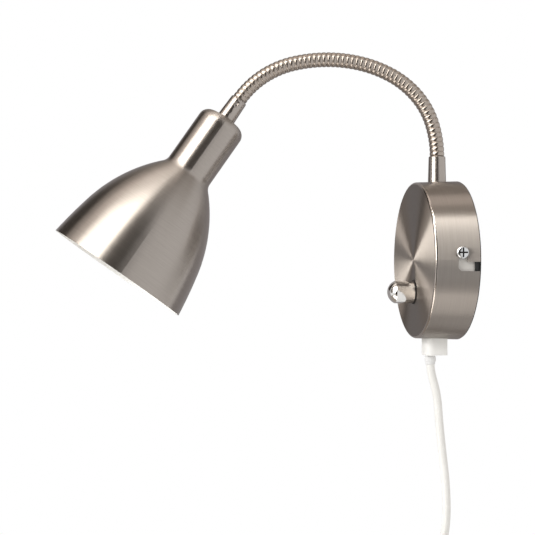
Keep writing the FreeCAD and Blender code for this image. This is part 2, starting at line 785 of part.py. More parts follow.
def shade():
    outer, outer_end = shade_outline(0)
    inner, inner_end = shade_outline(SHADE_WALL)
    body = turned(outer + [(0, outer_end)], "z")
    hollow = turned(inner + [(0, inner_end)], "z")
    below = rod(BELL_RIM_RADIUS, (0, 0, RIM_AT), (0, 0, RIM_AT + SHADE_WALL))
    hole = rod(THREAD_RADIUS + SLIDE_GAP, (0, 0, 0), (0, 0, SHADE_INNER_TOP))
    return on_head(body.cut(hollow).cut(below).cut(hole))


# ---------------------------------------------------------------- lampholder and bulb

HOLDER_TOP = HEAD_NUT_AT + THREAD_NUT_HEIGHT + SEAT_GAP
HOLDER_SPLIT = HOLDER_TOP + HOLDER_CAP_LENGTH
HOLDER_END = HOLDER_SPLIT + HOLDER_BODY_LENGTH
HOLDER_FLOOR_AT = HOLDER_SPLIT + HOLDER_FLOOR
SHELL_INNER = BULB_THREAD_RADIUS + SLIDE_GAP
SHELL_OUTER = SHELL_INNER + SHELL_WALL
SHELL_START = HOLDER_FLOOR_AT + SHELL_RISE
CONTACT_TOP = HOLDER_FLOOR_AT + CONTACT_HEIGHT
BULB_START = CONTACT_TOP + SEAT_GAP
BULB_CAP_START = BULB_START + BULB_TIP_HEIGHT
BULB_CAP_END = BULB_CAP_START + BULB_CAP_LENGTH
BULB_CENTRE = BULB_START + BULB_LENGTH - BULB_RADIUS


def lampholder_cap():
    """The holder's upper half, screwed on the sleeve's thread."""
    shoulder = HOLDER_CAP_LENGTH / 3
    outer = turned(
        [
            (0, HOLDER_TOP),
            (HOLDER_RADIUS - shoulder, HOLDER_TOP),
            (HOLDER_RADIUS, HOLDER_TOP + shoulder),
            (HOLDER_RADIUS, HOLDER_SPLIT),
            (0, HOLDER_SPLIT),
        ],
        "z",
    )
    hollow_start = SHADE_TOP + THREAD_LENGTH + SLIDE_GAP
    hollow = rod(HOLDER_RADIUS - HOLDER_WALL, (0, 0, hollow_start), (0, 0, HOLDER_SPLIT))
    thread = rod(THREAD_RADIUS + THREAD_GAP, (0, 0, HOLDER_TOP), (0, 0, hollow_start))
    return on_head(outer.cut(hollow).cut(thread))


def lampholder_body():
    """The holder's lower half: a floor for the contact and a tube round the threaded shell."""
    outer = rod(HOLDER_RADIUS, (0, 0, HOLDER_SPLIT), (0, 0, HOLDER_END))
    well = rod(SHELL_OUTER + SEAT_GAP, (0, 0, HOLDER_FLOOR_AT), (0, 0, HOLDER_END))
    body = outer.cut(well)
    for side in (-1, 1):
        x = side * HEAD_LEAD_SPREAD
        body = body.cut(rod(LEAD_RADIUS + SLIDE_GAP, (x, 0, HOLDER_SPLIT), (x, 0, HOLDER_FLOOR_AT)))
    return on_head(body)


def lampholder_shell():
    return on_head(ring(SHELL_OUTER, SHELL_INNER, (0, 0, SHELL_START), (0, 0, SHELL_START + SHELL_LENGTH)))


def lampholder_contact():
    """The sprung middle contact: a bent brass strip on the holder's floor."""
    half = CONTACT_WIDTH / 2
    reach = CONTACT_LENGTH / 2
    foot = box(-reach, reach, -half, half, HOLDER_FLOOR_AT, HOLDER_FLOOR_AT + CONTACT_SHEET)
    rise = box(-half, -half + CONTACT_SHEET, -half, half, HOLDER_FLOOR_AT, CONTACT_TOP)
    pad = box(-half, half, -half, half, CONTACT_TOP - CONTACT_SHEET, CONTACT_TOP)
    return on_head(fuse([foot, rise, pad]))


def bulb_cap():
    """The bulb's threaded metal cap, hollow and open to the globe."""
    inner = BULB_THREAD_RADIUS - BULB_CAP_WALL
    cap = rod(BULB_THREAD_RADIUS, (0, 0, BULB_CAP_START), (0, 0, BULB_CAP_END))
    return on_head(cap.cut(rod(inner, (0, 0, BULB_CAP_START + BULB_WALL), (0, 0, BULB_CAP_END))))


def bulb_tip():
    return on_head(rod(BULB_TIP_RADIUS, (0, 0, BULB_START), (0, 0, BULB_CAP_START)))


def bulb_outline(less):
    """Half outline of the globe, made smaller by less inside; its neck is a cone that meets the
    ball without an edge."""
    radius = BULB_RADIUS - less
    neck = BULB_NECK_RADIUS - less
    floor = BULB_CAP_END + less
    rise = BULB_CENTRE - floor
    lean = math.atan2(neck, rise) + math.acos(radius / math.hypot(neck, rise))
    join = (radius * math.sin(lean), BULB_CENTRE - radius * math.cos(lean))
    via = corner_via((0, BULB_CENTRE), radius, math.degrees(lean) / 2)
    return [(0, floor), (neck, floor), join, via, (0, BULB_CENTRE + radius)]


def bulb_globe():
    globe = turned(bulb_outline(0), "z").cut(turned(bulb_outline(BULB_WALL), "z"))
    stem = rod(BULB_STEM_RADIUS, (0, 0, BULB_CAP_END), (0, 0, BULB_CAP_END + BULB_WALL))
    return on_head(globe.cut(stem))


def head_leads():
    """Two leads from the gooseneck's end through the sleeve to the lampholder's floor."""
    split = SHADE_TOP + THREAD_LENGTH
    leads = []
    for side in (-1, 1):
        leads.append(
            tube(
                [
                    (side * LEAD_X, 0, 0),
                    (side * LEAD_X, 0, split),
                    (side * HEAD_LEAD_SPREAD, 0, split + 5),
                    (side * HEAD_LEAD_SPREAD, 0, HOLDER_FLOOR_AT),
                ],
                LEAD_RADIUS,
            )
        )
    return on_head(group(leads))


# ---------------------------------------------------------------- dimmer, knob and terminals


def dimmer_case():
    """A moulded box behind the face, open to the rear, with a tray for the terminal block."""
    outer = box(-CASE_LEFT, CASE_RIGHT, FACE_INNER_Y, CASE_REAR_Y, CASE_BOTTOM, CASE_TOP)
    hollow = box(
        -CASE_LEFT + CASE_WALL,
        CASE_RIGHT - CASE_WALL,
        FACE_INNER_Y + CASE_WALL,
        CASE_REAR_Y,
        CASE_BOTTOM + CASE_WALL,
        CASE_TOP - CASE_WALL,
    )
    tray = box(
        CASE_RIGHT,
        CASE_RIGHT + TRAY_WIDTH,
        FACE_INNER_Y,
        TRAY_REAR_Y,
        TERMINAL_BOTTOM,
        TERMINAL_TOP,
    )
    bush_hole = rod(
        BUSH_RADIUS + SLIDE_GAP, (0, FACE_INNER_Y, KNOB_Z), (0, FACE_INNER_Y + CASE_WALL, KNOB_Z)
    )
    case = fuse([outer, tray]).cut(hollow).cut(bush_hole)
    for x in (LINK_X, DIMMED_X):
        case = case.cut(
            rod(LEAD_RADIUS + SLIDE_GAP, (x, LEAD_ENTRY_Y, CASE_TOP - CASE_WALL), (x, LEAD_ENTRY_Y, CASE_TOP))
        )
    return case


LINK_X = 10.0            # where the live link enters the dimmer case
DIMMED_X = -9.0          # where the dimmed lamp lead leaves it
LEAD_ENTRY_Y = (FACE_INNER_Y + CASE_REAR_Y) / 2
POT_FRONT_Y = FACE_INNER_Y + CASE_WALL
BOARD_FRONT_Y = CASE_REAR_Y - BOARD_THICKNESS
COLLAR_Y = POT_FRONT_Y + POT_WALL


def dimmer_board():
    return box(
        -CASE_LEFT + CASE_WALL + SLIDE_GAP,
        CASE_RIGHT - CASE_WALL - SLIDE_GAP,
        BOARD_FRONT_Y,
        CASE_REAR_Y,
        CASE_BOTTOM + CASE_WALL + SLIDE_GAP,
        CASE_TOP - CASE_WALL - SLIDE_GAP,
    )


def dimmer_pot():
    """The regulator's round body with its threaded bush, which goes out through the face."""
    body = rod(POT_RADIUS, (0, POT_FRONT_Y, KNOB_Z), (0, BOARD_FRONT_Y, KNOB_Z))
    bush = rod(BUSH_RADIUS, (0, FACE_Y - BUSH_LENGTH, KNOB_Z), (0, POT_FRONT_Y, KNOB_Z))
    bore = rod(SHAFT_RADIUS + RUNNING_GAP, (0, FACE_Y - BUSH_LENGTH, KNOB_Z), (0, COLLAR_Y, KNOB_Z))
    chamber = rod(
        SHAFT_COLLAR_RADIUS + RUNNING_GAP,
        (0, COLLAR_Y, KNOB_Z),
        (0, COLLAR_Y + SHAFT_COLLAR_HEIGHT + 2 * RUNNING_GAP, KNOB_Z),
    )
    return fuse([body, bush]).cut(bore).cut(chamber)


def face_washer():
    """The dark fibre washer between the face and the bush's nut; its edge shows round the knob."""
    return ring(
        FACE_WASHER_RADIUS,
        BUSH_RADIUS + SLIDE_GAP,
        (0, FACE_Y - FACE_WASHER_HEIGHT, KNOB_Z),
        (0, FACE_Y, KNOB_Z),
    )


def bush_nut():
    nut = hexagon(BUSH_NUT_FLATS, BUSH_NUT_HEIGHT, BUSH_RADIUS + THREAD_GAP)
    nut.Placement = Placement(
        Vector(0, FACE_Y - FACE_WASHER_HEIGHT, KNOB_Z), Rotation(Vector(1, 0, 0), 90)
    )
    return nut


def shaft_flat(gap):
    """What the shaft's flat takes away, seen from the knob; the knob's bore keeps a gap to it."""
    height = SHAFT_RADIUS - SHAFT_FLAT_DEPTH + gap
    return box(
        -2 * SHAFT_RADIUS,
        2 * SHAFT_RADIUS,
        FACE_Y - SHAFT_REACH - KNOB_LENGTH,
        FACE_Y - BUSH_LENGTH - RUNNING_GAP,
        KNOB_Z + height,
        KNOB_Z + 3 * SHAFT_RADIUS,
    )


def dimmer_shaft():
    collar_start = COLLAR_Y + RUNNING_GAP
    collar = rod(
        SHAFT_COLLAR_RADIUS,
        (0, collar_start, KNOB_Z),
        (0, collar_start + SHAFT_COLLAR_HEIGHT, KNOB_Z),
    )
    shaft = rod(SHAFT_RADIUS, (0, FACE_Y - SHAFT_REACH, KNOB_Z), (0, collar_start, KNOB_Z))
    return fuse([shaft, collar]).cut(shaft_flat(0))


def knob():
    """A bright metal knob: a plain cylinder with a domed end, pushed on the shaft."""
    foot = -(FACE_WASHER_HEIGHT + KNOB_LIFT)
    shoulder = foot - KNOB_LENGTH
    tip = shoulder - KNOB_DOME
    sphere = (KNOB_RADIUS ** 2 + KNOB_DOME ** 2) / (2 * KNOB_DOME)
    half_angle = math.asin(KNOB_RADIUS / sphere) / 2
    via = (sphere * math.sin(half_angle), tip + sphere * (1 - math.cos(half_angle)), "via")
    body = turned([(0, foot), (KNOB_RADIUS, foot), (KNOB_RADIUS, shoulder), via, (0, tip)], "y")
    skirt = rod(KNOB_RADIUS - KNOB_SKIRT_WALL, (0, foot, 0), (0, foot - KNOB_SKIRT_DEPTH, 0))
    bore = rod(SHAFT_RADIUS + SEAT_GAP, (0, foot, 0), (0, -SHAFT_REACH - SEAT_GAP, 0))
    body = body.cut(skirt)
    body.translate(Vector(0, FACE_Y, KNOB_Z))
    bore.translate(Vector(0, FACE_Y, KNOB_Z))
    return body.cut(bore.cut(shaft_flat(SEAT_GAP)))


def pole_x(pole):
    pitch = TERMINAL_WIDTH / TERMINAL_POLES
    return TERMINAL_X + (pole - (TERMINAL_POLES - 1) / 2) * pitch


def terminal_screw_places():
    middle = (TERMINAL_TOP + TERMINAL_BOTTOM) / 2
    return [
        (pole_x(pole), middle + side * TERMINAL_SCREW_PITCH / 2)
        for pole in range(TERMINAL_POLES)
        for side in (-1, 1)
    ]


def terminal_block():
    block = box(
        TERMINAL_X - TERMINAL_WIDTH / 2,
        TERMINAL_X + TERMINAL_WIDTH / 2,
        TRAY_REAR_Y,
        TERMINAL_REAR_Y,
        TERMINAL_BOTTOM,
        TERMINAL_TOP,
    )
    for pole in range(TERMINAL_POLES):
        x = pole_x(pole)
        through = rod(
            TUBE_RADIUS + SEAT_GAP, (x, TERMINAL_TUBE_Y, TERMINAL_BOTTOM), (x, TERMINAL_TUBE_Y, TERMINAL_TOP)
        )
        block = block.cut(through)
    for x, z in terminal_screw_places():
        well = rod(TERMINAL_SCREW_RADIUS + SLIDE_GAP, (x, TERMINAL_TUBE_Y, z), (x, TERMINAL_REAR_Y, z))
        block = block.cut(well)
    return block


def terminal_tubes():
    """The brass inserts, one per pole, each with two threaded side holes."""
    middle = (TERMINAL_TOP + TERMINAL_BOTTOM) / 2
    tubes = []
    for pole in range(TERMINAL_POLES):
        x = pole_x(pole)
        body = ring(
            TUBE_RADIUS,
            TUBE_BORE,
            (x, TERMINAL_TUBE_Y, middle - TUBE_LENGTH / 2),
            (x, TERMINAL_TUBE_Y, middle + TUBE_LENGTH / 2),
        )
        for screw_x, z in terminal_screw_places():
            if screw_x == x:
                body = body.cut(
                    rod(TERMINAL_SCREW_RADIUS + THREAD_GAP, (x, TERMINAL_TUBE_Y, z), (x, TERMINAL_REAR_Y, z))
                )
        tubes.append(body)
    return group(tubes)


def terminal_screws():
    start = TERMINAL_TUBE_Y + LEAD_RADIUS + SEAT_GAP
    screws = []
    for x, z in terminal_screw_places():
        screw = rod(TERMINAL_SCREW_RADIUS, (x, start, z), (x, start + TERMINAL_SCREW_LENGTH, z))
        slit = box(
            x - TERMINAL_SCREW_RADIUS,
            x + TERMINAL_SCREW_RADIUS,
            start + TERMINAL_SCREW_LENGTH - 0.6,
            start + TERMINAL_SCREW_LENGTH,
            z - 0.25,
            z + 0.25,
        )
        screws.append(screw.cut(slit))
    return group(screws)


# ---------------------------------------------------------------- wires inside the base

WIRE_IN = 4.0            # how far a wire goes into the terminal block
BOARD_WIRE_IN = 2.4      # how far a wire goes into the dimmer case
LINK_CLIMB = 5.0         # the link's bow over the dimmer case
DIMMED_CLIMB = 13.0      # straight rise of the dimmed lead above the dimmer case
NEUTRAL_CLIMB = 15.0     # straight rise of the neutral lead above the terminal block
LEADS_MEET = 12.0        # below the sleeve's thread, where the two leads come together
CORE_LOW_LEVEL = 3.9     # below the dimmer case, for the live core
CORE_HIGH_LEVEL = 1.4    # the same for the neutral core, which crosses above it


def core_brown():
    """The live core, from the cord's end to the first pole."""
    x = pole_x(0)
    level = CASE_BOTTOM - CORE_LOW_LEVEL
    return tube(
        [
            (CORE_SPACING / 2, GRIP_CORD_Y, CORD_POINTS[0][2]),
            (CORE_SPACING / 2, GRIP_CORD_Y, level),
            (x - 7, GRIP_CORD_Y - 1, level),
            (x, TERMINAL_TUBE_Y, level + 3),
            (x, TERMINAL_TUBE_Y, TERMINAL_BOTTOM + WIRE_IN),
        ],
        CORE_RADIUS,
    )


def core_blue():
    """The neutral core, from the cord's end above the live core to the second pole."""
    x = pole_x(1)
    level = CASE_BOTTOM - CORE_HIGH_LEVEL
    return tube(
        [
            (-CORE_SPACING / 2, GRIP_CORD_Y, CORD_POINTS[0][2]),
            (-CORE_SPACING / 2, GRIP_CORD_Y, level),
            (x - 10, GRIP_CORD_Y + 2, level),
            (x, TERMINAL_TUBE_Y, level + 1),
            (x, TERMINAL_TUBE_Y, TERMINAL_BOTTOM + WIRE_IN),
        ],
        CORE_RADIUS,
    )


def link_wire():
    """The live link, from the terminal block over into the dimmer case."""
    x = pole_x(0)
    over = CASE_TOP + LINK_CLIMB
    return tube(
        [
            (x, TERMINAL_TUBE_Y, TERMINAL_TOP - WIRE_IN),
            (x, TERMINAL_TUBE_Y, over),
            (LINK_X, LEAD_ENTRY_Y, over),
            (LINK_X, LEAD_ENTRY_Y, CASE_TOP - BOARD_WIRE_IN),
        ],
        CORE_RADIUS,
    )


def base_leads():
    """The two lamp leads: one from the dimmer, one from the second pole, up into the gooseneck."""
    x = pole_x(1)
    thread_end = NECK_START_Z - SLEEVE_LENGTH_BASE - THREAD_LENGTH
    dimmed = tube(
        [
            (DIMMED_X, LEAD_ENTRY_Y, CASE_TOP - BOARD_WIRE_IN),
            (DIMMED_X, LEAD_ENTRY_Y, CASE_TOP + DIMMED_CLIMB),
            (-LEAD_X, ARM_Y, thread_end - LEADS_MEET),
            (-LEAD_X, ARM_Y, NECK_START_Z),
        ],
        LEAD_RADIUS,
    )
    neutral = tube(
        [
            (x, TERMINAL_TUBE_Y, TERMINAL_TOP - WIRE_IN),
            (x, TERMINAL_TUBE_Y, TERMINAL_TOP + NEUTRAL_CLIMB),
            (LEAD_X, ARM_Y, thread_end - LEADS_MEET),
            (LEAD_X, ARM_Y, NECK_START_Z),
        ],
        LEAD_RADIUS,
    )
    return group([dimmed, neutral])


# ---------------------------------------------------------------- cord grip


def clamp_y():
    """Where the clamp's front face is: just behind the cord."""
    return GRIP_CORD_Y + CORD_RADIUS + SEAT_GAP


CLAMP_TOP = GRIP_TOP - CLAMP_DROP
CLAMP_MIDDLE = CLAMP_TOP - CLAMP_HEIGHT / 2


def clamp_screw_holes(radius, y0, y1):
    return [
        rod(radius, (side * CLAMP_SCREW_OFFSET, y0, CLAMP_MIDDLE), (side * CLAMP_SCREW_OFFSET, y1, CLAMP_MIDDLE))
        for side in (-1, 1)
    ]


def cord_grip():
    """The white block under the drum: it holds the cord, and its flange rests inside the cover."""
    inner_side = math.sqrt(
        (cover_radius(GRIP_REAR_Y) - COVER_WALL - BASE_DRAFT) ** 2
        - (GRIP_WIDTH / 2 + GRIP_FLANGE_OVERHANG) ** 2
    )
    block = prism(grip_outline(0), GRIP_BOTTOM, GRIP_TOP)
    flange = prism(
        grip_outline(GRIP_FLANGE_OVERHANG), -inner_side + SEAT_GAP, -inner_side + SEAT_GAP + GRIP_FLANGE
    )
    body = fuse([block, flange])
    bore = rod(CORD_BORE, (0, GRIP_CORD_Y, GRIP_BOTTOM), (0, GRIP_CORD_Y, GRIP_TOP))
    sleeve_seat = rod(
        SLEEVE_RIB_RADIUS + SEAT_GAP,
        (0, GRIP_CORD_Y, GRIP_BOTTOM),
        (0, GRIP_CORD_Y, GRIP_BOTTOM + CORD_SLEEVE_INSIDE),
    )
    pocket = box(
        -GRIP_WIDTH,
        GRIP_WIDTH,
        clamp_y(),
        GRIP_REAR_Y + 1,
        CLAMP_TOP - CLAMP_HEIGHT - SLIDE_GAP,
        GRIP_TOP,
    )
    body = body.cut(bore).cut(sleeve_seat).cut(pocket)
    for hole in clamp_screw_holes(CLAMP_SCREW_RADIUS + THREAD_GAP, GRIP_FRONT_Y + CLAMP_HOLE_STOP, clamp_y()):
        body = body.cut(hole)
    return body


def cord_clamp():
    """The bar that presses the cord into the block."""
    bar = box(
        -GRIP_WIDTH / 2,
        GRIP_WIDTH / 2,
        clamp_y() + SEAT_GAP,
        clamp_y() + SEAT_GAP + CLAMP_THICKNESS,
        CLAMP_TOP - CLAMP_HEIGHT,
        CLAMP_TOP,
    )
    for hole in clamp_screw_holes(
        CLAMP_SCREW_RADIUS + SLIDE_GAP, clamp_y(), clamp_y() + SEAT_GAP + CLAMP_THICKNESS
    ):
        bar = bar.cut(hole)
    return bar


def clamp_screws():
    seat = clamp_y() + SEAT_GAP + CLAMP_THICKNESS
    screws = []
    for side in (-1, 1):
        x = side * CLAMP_SCREW_OFFSET
        shank = rod(CLAMP_SCREW_RADIUS, (x, seat - CLAMP_SCREW_LENGTH, CLAMP_MIDDLE), (x, seat, CLAMP_MIDDLE))
        head = rod(CLAMP_HEAD_RADIUS, (x, seat, CLAMP_MIDDLE), (x, seat + CLAMP_HEAD_HEIGHT, CLAMP_MIDDLE))
        screws.append(fuse([shank, head]))
    return group(screws)


def cord_sleeve():
    """The short ribbed sleeve where the cord leaves the block."""
    top = GRIP_BOTTOM + CORD_SLEEVE_INSIDE
    bottom = GRIP_BOTTOM - CORD_SLEEVE_BELOW
    rib = CORD_SLEEVE_BELOW / 4
    profile = [
        (CORD_BORE, top),
        (SLEEVE_RIB_RADIUS, top),
        (SLEEVE_RIB_RADIUS, GRIP_BOTTOM),
        (SLEEVE_GROOVE_RADIUS, GRIP_BOTTOM),
        (SLEEVE_GROOVE_RADIUS, GRIP_BOTTOM - rib),
        (SLEEVE_RIB_RADIUS, GRIP_BOTTOM - rib),
        (SLEEVE_RIB_RADIUS, GRIP_BOTTOM - 2 * rib),
        (SLEEVE_GROOVE_RADIUS, GRIP_BOTTOM - 2 * rib),
        (SLEEVE_GROOVE_RADIUS, GRIP_BOTTOM - 3 * rib),
        (SLEEVE_RIB_RADIUS, GRIP_BOTTOM - 3 * rib),
        (SLEEVE_RIB_RADIUS, bottom),
        (CORD_BORE, bottom),
    ]
    piece = turned(profile, "z")
    piece.translate(Vector(0, GRIP_CORD_Y, 0))
    return piece


# ---------------------------------------------------------------- cord, hank and plug


def mains_cord():
    """The free stretch of the cord, from inside the grip to the top of its hank."""
    wire, radii = rounded_path(CORD_POINTS, CORD_EXIT_CUT_BACK)
    print("cord bend radii, mm:", [round(r, 1) for r in radii])
    piece = swept(wire, CORD_RADIUS)
    expected = math.pi * CORD_RADIUS ** 2 * wire.Length
    print("cord stretch, mm: %.1f, volume / expected %.4f" % (wire.Length, piece.Volume / expected))
    return piece, wire.Length


HANK_OUTER = -CORD_POINTS[-1][0]
HANK_TOP = CORD_POINTS[-1][2]
HANK_BOTTOM = HANK_TOP - 2 * HANK_HALF_RUN
HANK_MIDDLE = HANK_TOP - HANK_HALF_RUN
HANK_REAR_Y = CORD_POINTS[-1][1]
HANK_FRONT_Y = HANK_REAR_Y - HANK_LAYER_STEP
HANK_TURN_RUN = HANK_RUNS // 2


def s_bend(start, end):
    """Two equal arcs between points with upright tangents, or a line where nothing shifts."""
    start, end = Vector(*start), Vector(*end)
    shift = Vector(end.x - start.x, end.y - start.y, 0)
    drop = Vector(0, 0, end.z - start.z)
    if shift.Length < 1e-9:
        return [Part.LineSegment(start, end).toShape()]
    radius = (shift.Length ** 2 + drop.Length ** 2) / (4 * shift.Length)
    half_angle = math.atan2(shift.Length, drop.Length)
    side = shift.normalize()
    down = drop.normalize()
    middle = (start + end) * 0.5
    rise = radius * math.sin(half_angle)
    over = radius * (1 - math.cos(half_angle))
    first = start + down * rise + side * over
    second = end - down * rise - side * over
    return [Part.Arc(start, first, middle).toShape(), Part.Arc(middle, second, end).toShape()]


def hank_run(x, y_start, y_end, downward):
    """One upright run of the hank, drawn in at the waist and changing layer where asked."""
    z_start, z_end = (HANK_TOP, HANK_BOTTOM) if downward else (HANK_BOTTOM, HANK_TOP)
    waist_x = x - math.copysign(HANK_DRAW_IN, x)
    waist = (waist_x, (y_start + y_end) / 2, HANK_MIDDLE)
    return s_bend((x, y_start, z_start), waist) + s_bend(waist, (x, y_end, z_end))


def hank_fold(x_start, x_end, y, at_bottom):
    """A half-round fold between two runs."""
    z = HANK_BOTTOM if at_bottom else HANK_TOP
    radius = abs(x_end - x_start) / 2
    reach = -radius if at_bottom else radius
    return Part.Arc(
        Vector(x_start, y, z), Vector((x_start + x_end) / 2, y, z + reach), Vector(x_end, y, z)
    ).toShape()


def hank_wire():
    """The hank's line: it spirals in through the rear layer, climbs along its innermost run and
    spirals out again in the front layer."""
    edges = []
    for run in range(HANK_RUNS):
        rings_in = min(run, HANK_RUNS - 1 - run)
        side = -1 if run % 2 == 0 else 1
        x = side * (HANK_OUTER - rings_in * HANK_STEP / 2)
        y_start = HANK_REAR_Y if run <= HANK_TURN_RUN else HANK_FRONT_Y
        y_end = HANK_REAR_Y if run < HANK_TURN_RUN else HANK_FRONT_Y
        downward = run % 2 == 0
        if run:
            edges.append(hank_fold(last_x, x, y_start, not downward))
        edges += hank_run(x, y_start, y_end, downward)
        last_x = x
    end = Vector(last_x, HANK_FRONT_Y, HANK_BOTTOM)
    edges.append(Part.LineSegment(end, end + Vector(0, 0, -HANK_TAIL)).toShape())
    return Part.Wire(edges)


def least_gap_to_itself(wire, radius):
    """The smallest space between turns of a tube, measured on points along its line."""
    spacing = radius / 2
    points = wire.discretize(Distance=spacing)
    apart = int(math.pi * radius * 2 / spacing)
    least = None
    for i, here in enumerate(points):
        for there in points[i + apart:]:
            distance = here.distanceToPoint(there)
            if least is None or distance < least:
                least = distance
    return least - 2 * radius


def cord_hank():
    wire = hank_wire()
    piece = swept(wire, CORD_RADIUS)
    expected = math.pi * CORD_RADIUS ** 2 * wire.Length
    print("hank, mm: %.1f, volume / expected %.4f" % (wire.Length, piece.Volume / expected))
    print("hank's least gap to itself, mm: %.2f" % least_gap_to_itself(wire, CORD_RADIUS))
    return piece, wire.Length


def hank_tie():
    """The band round the hank's waist."""
    outer_left = HANK_OUTER - HANK_DRAW_IN
    outer_right = outer_left - HANK_STEP / 2
    reach = CORD_RADIUS + SOFT_GAP
    hollow = (
        -outer_left - reach,
        outer_right + reach,
        HANK_FRONT_Y - reach,
        HANK_REAR_Y + reach,
    )
    skin = (
        hollow[0] - TIE_THICKNESS,
        hollow[1] + TIE_THICKNESS,
        hollow[2] - TIE_THICKNESS,
        hollow[3] + TIE_THICKNESS,
    )
    bottom = HANK_MIDDLE - TIE_WIDTH / 2
    top = HANK_MIDDLE + TIE_WIDTH / 2
    band = prism(rounded_plate(*skin, reach + TIE_THICKNESS, reach + TIE_THICKNESS), bottom, top)
    return band.cut(prism(rounded_plate(*hollow, reach, reach), bottom, top))


PLUG_TOP = HANK_BOTTOM - HANK_TAIL
PLUG_FACE = PLUG_TOP - PLUG_LENGTH
PLUG_X = -HANK_OUTER


def plug_section(height, half_width, half_thickness, corner):
    """A rounded outline round the plug's middle, at one height."""
    face = rounded_plate(
        PLUG_X - half_width,
        PLUG_X + half_width,
        HANK_FRONT_Y - half_thickness,
        HANK_FRONT_Y + half_thickness,
        corner,
        corner,
    )
    outline = face.OuterWire
    outline.translate(Vector(0, 0, height))
    return outline


def plug_body():
    """A flat two-pin plug, moulded on the cord; it narrows towards the cord."""
    corner = PLUG_NECK_RADIUS * 0.9
    wide = PLUG_WIDTH / 2
    thick = PLUG_THICKNESS / 2
    shoulder = PLUG_TOP - PLUG_SHOULDER
    body = Part.makeLoft(
        [
            plug_section(PLUG_TOP, PLUG_NECK_RADIUS, PLUG_NECK_RADIUS, corner),
            plug_section(shoulder, wide * 0.72, thick, corner),
            plug_section(shoulder - PLUG_SHOULDER / 2, wide, thick, corner),
            plug_section(PLUG_FACE, wide, thick, corner),
        ],
        True,
        True,
    )
    for x in plug_pin_places():
        start = (x, HANK_FRONT_Y, PLUG_FACE)
        body = body.cut(rod(PIN_CORE_RADIUS + SEAT_GAP, start, (x, HANK_FRONT_Y, PLUG_FACE + PIN_ROOT)))
    return body


def plug_pin_places():
    return [PLUG_X + side * PIN_SPACING / 2 for side in (-1, 1)]


def plug_pins():
    """Two round pins, thinner where their insulating sleeves sit and inside the plug."""
    pins = []
    sleeve_end = PLUG_FACE - PIN_SLEEVE_LENGTH
    tip = PLUG_FACE - PIN_LENGTH
    for x in plug_pin_places():
        core = rod(PIN_CORE_RADIUS, (x, HANK_FRONT_Y, sleeve_end), (x, HANK_FRONT_Y, PLUG_FACE + PIN_ROOT))
        end = rod(PIN_RADIUS, (x, HANK_FRONT_Y, tip), (x, HANK_FRONT_Y, sleeve_end))
        round_end = end.makeFillet(PIN_TIP_ROUNDING, [lowest_edge(end)])
        pins.append(fuse([core, round_end]))
    return group(pins)


def lowest_edge(shape):
    return min(shape.Edges, key=lambda edge: edge.CenterOfMass.z)


def plug_pin_sleeves():
    sleeves = []
    for x in plug_pin_places():
        sleeves.append(
            ring(
                PIN_RADIUS,
                PIN_CORE_RADIUS + SEAT_GAP,
                (x, HANK_FRONT_Y, PLUG_FACE - PIN_SLEEVE_LENGTH),
                (x, HANK_FRONT_Y, PLUG_FACE),
            )
        )
    return group(sleeves)


# ---------------------------------------------------------------- build and export


def build():
    cord, cord_length = mains_cord()
    hank, hank_length = cord_hank()
    print("cord in all, mm: %.1f" % (cord_length + hank_length))
    parts = {
        "base_cover": base_cover(),
        "back_plate": back_plate(),
        "wall_bracket": wall_bracket(),
        "lock_screws": lock_screws(),
        "base_sleeve": base_sleeve(),
        "sleeve_washer": sleeve_washer(),
        "sleeve_nut": sleeve_nut(),
        "dimmer_case": dimmer_case(),
        "dimmer_board": dimmer_board(),
        "dimmer_pot": dimmer_pot(),
        "face_washer": face_washer(),
        "bush_nut": bush_nut(),
        "dimmer_shaft": dimmer_shaft(),
        "knob": knob(),
        "terminal_block": terminal_block(),
        "terminal_tubes": terminal_tubes(),
        "terminal_screws": terminal_screws(),
        "core_brown": core_brown(),
        "core_blue": core_blue(),
        "link_wire": link_wire(),
        "base_leads": base_leads(),
        "cord_grip": cord_grip(),
        "cord_clamp": cord_clamp(),
        "clamp_screws": clamp_screws(),
        "cord_sleeve": cord_sleeve(),
        "mains_cord": cord,
        "cord_hank": hank,
        "hank_tie": hank_tie(),
        "plug_body": plug_body(),
        "plug_pins": plug_pins(),
        "plug_pin_sleeves": plug_pin_sleeves(),
        "head_sleeve": head_sleeve(),
        "head_washer": head_washer(),
        "head_nut": head_nut(),
        "shade": shade(),
        "lampholder_cap": lampholder_cap(),
        "lampholder_body": lampholder_body(),
        "lampholder_shell": lampholder_shell(),
        "lampholder_contact": lampholder_contact(),
        "head_leads": head_leads(),
        "bulb_cap": bulb_cap(),
        "bulb_tip": bulb_tip(),
        "bulb_globe": bulb_globe(),
    }
    for number in range(len(NECK_TURNS)):
        parts["neck_stretch_%d" % (number + 1)] = neck_stretch(number)
        parts["neck_lead_%d" % (number + 1)] = neck_lead(number)
    return parts


def main():
    os.makedirs("parts", exist_ok=True)
    for number, place in enumerate(NECK_PLACES):
        x_turn = sum(NECK_TURNS[:number])
        print("arm place %d: y %.3f z %.3f turned %.1f" % (number, place.Base.y, place.Base.z, x_turn))
    for name, shape in build().items():
        solids = shape.Solids
        if not shape.isValid() or not solids:
            print("NOT VALID:", name)
        print("%-20s solids %d  volume %.1f" % (name, len(solids), sum(s.Volume for s in solids)))
        shape.exportStep("parts/%s.step" % name)


main()
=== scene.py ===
import math

import bpy
from mathutils import Matrix, Vector


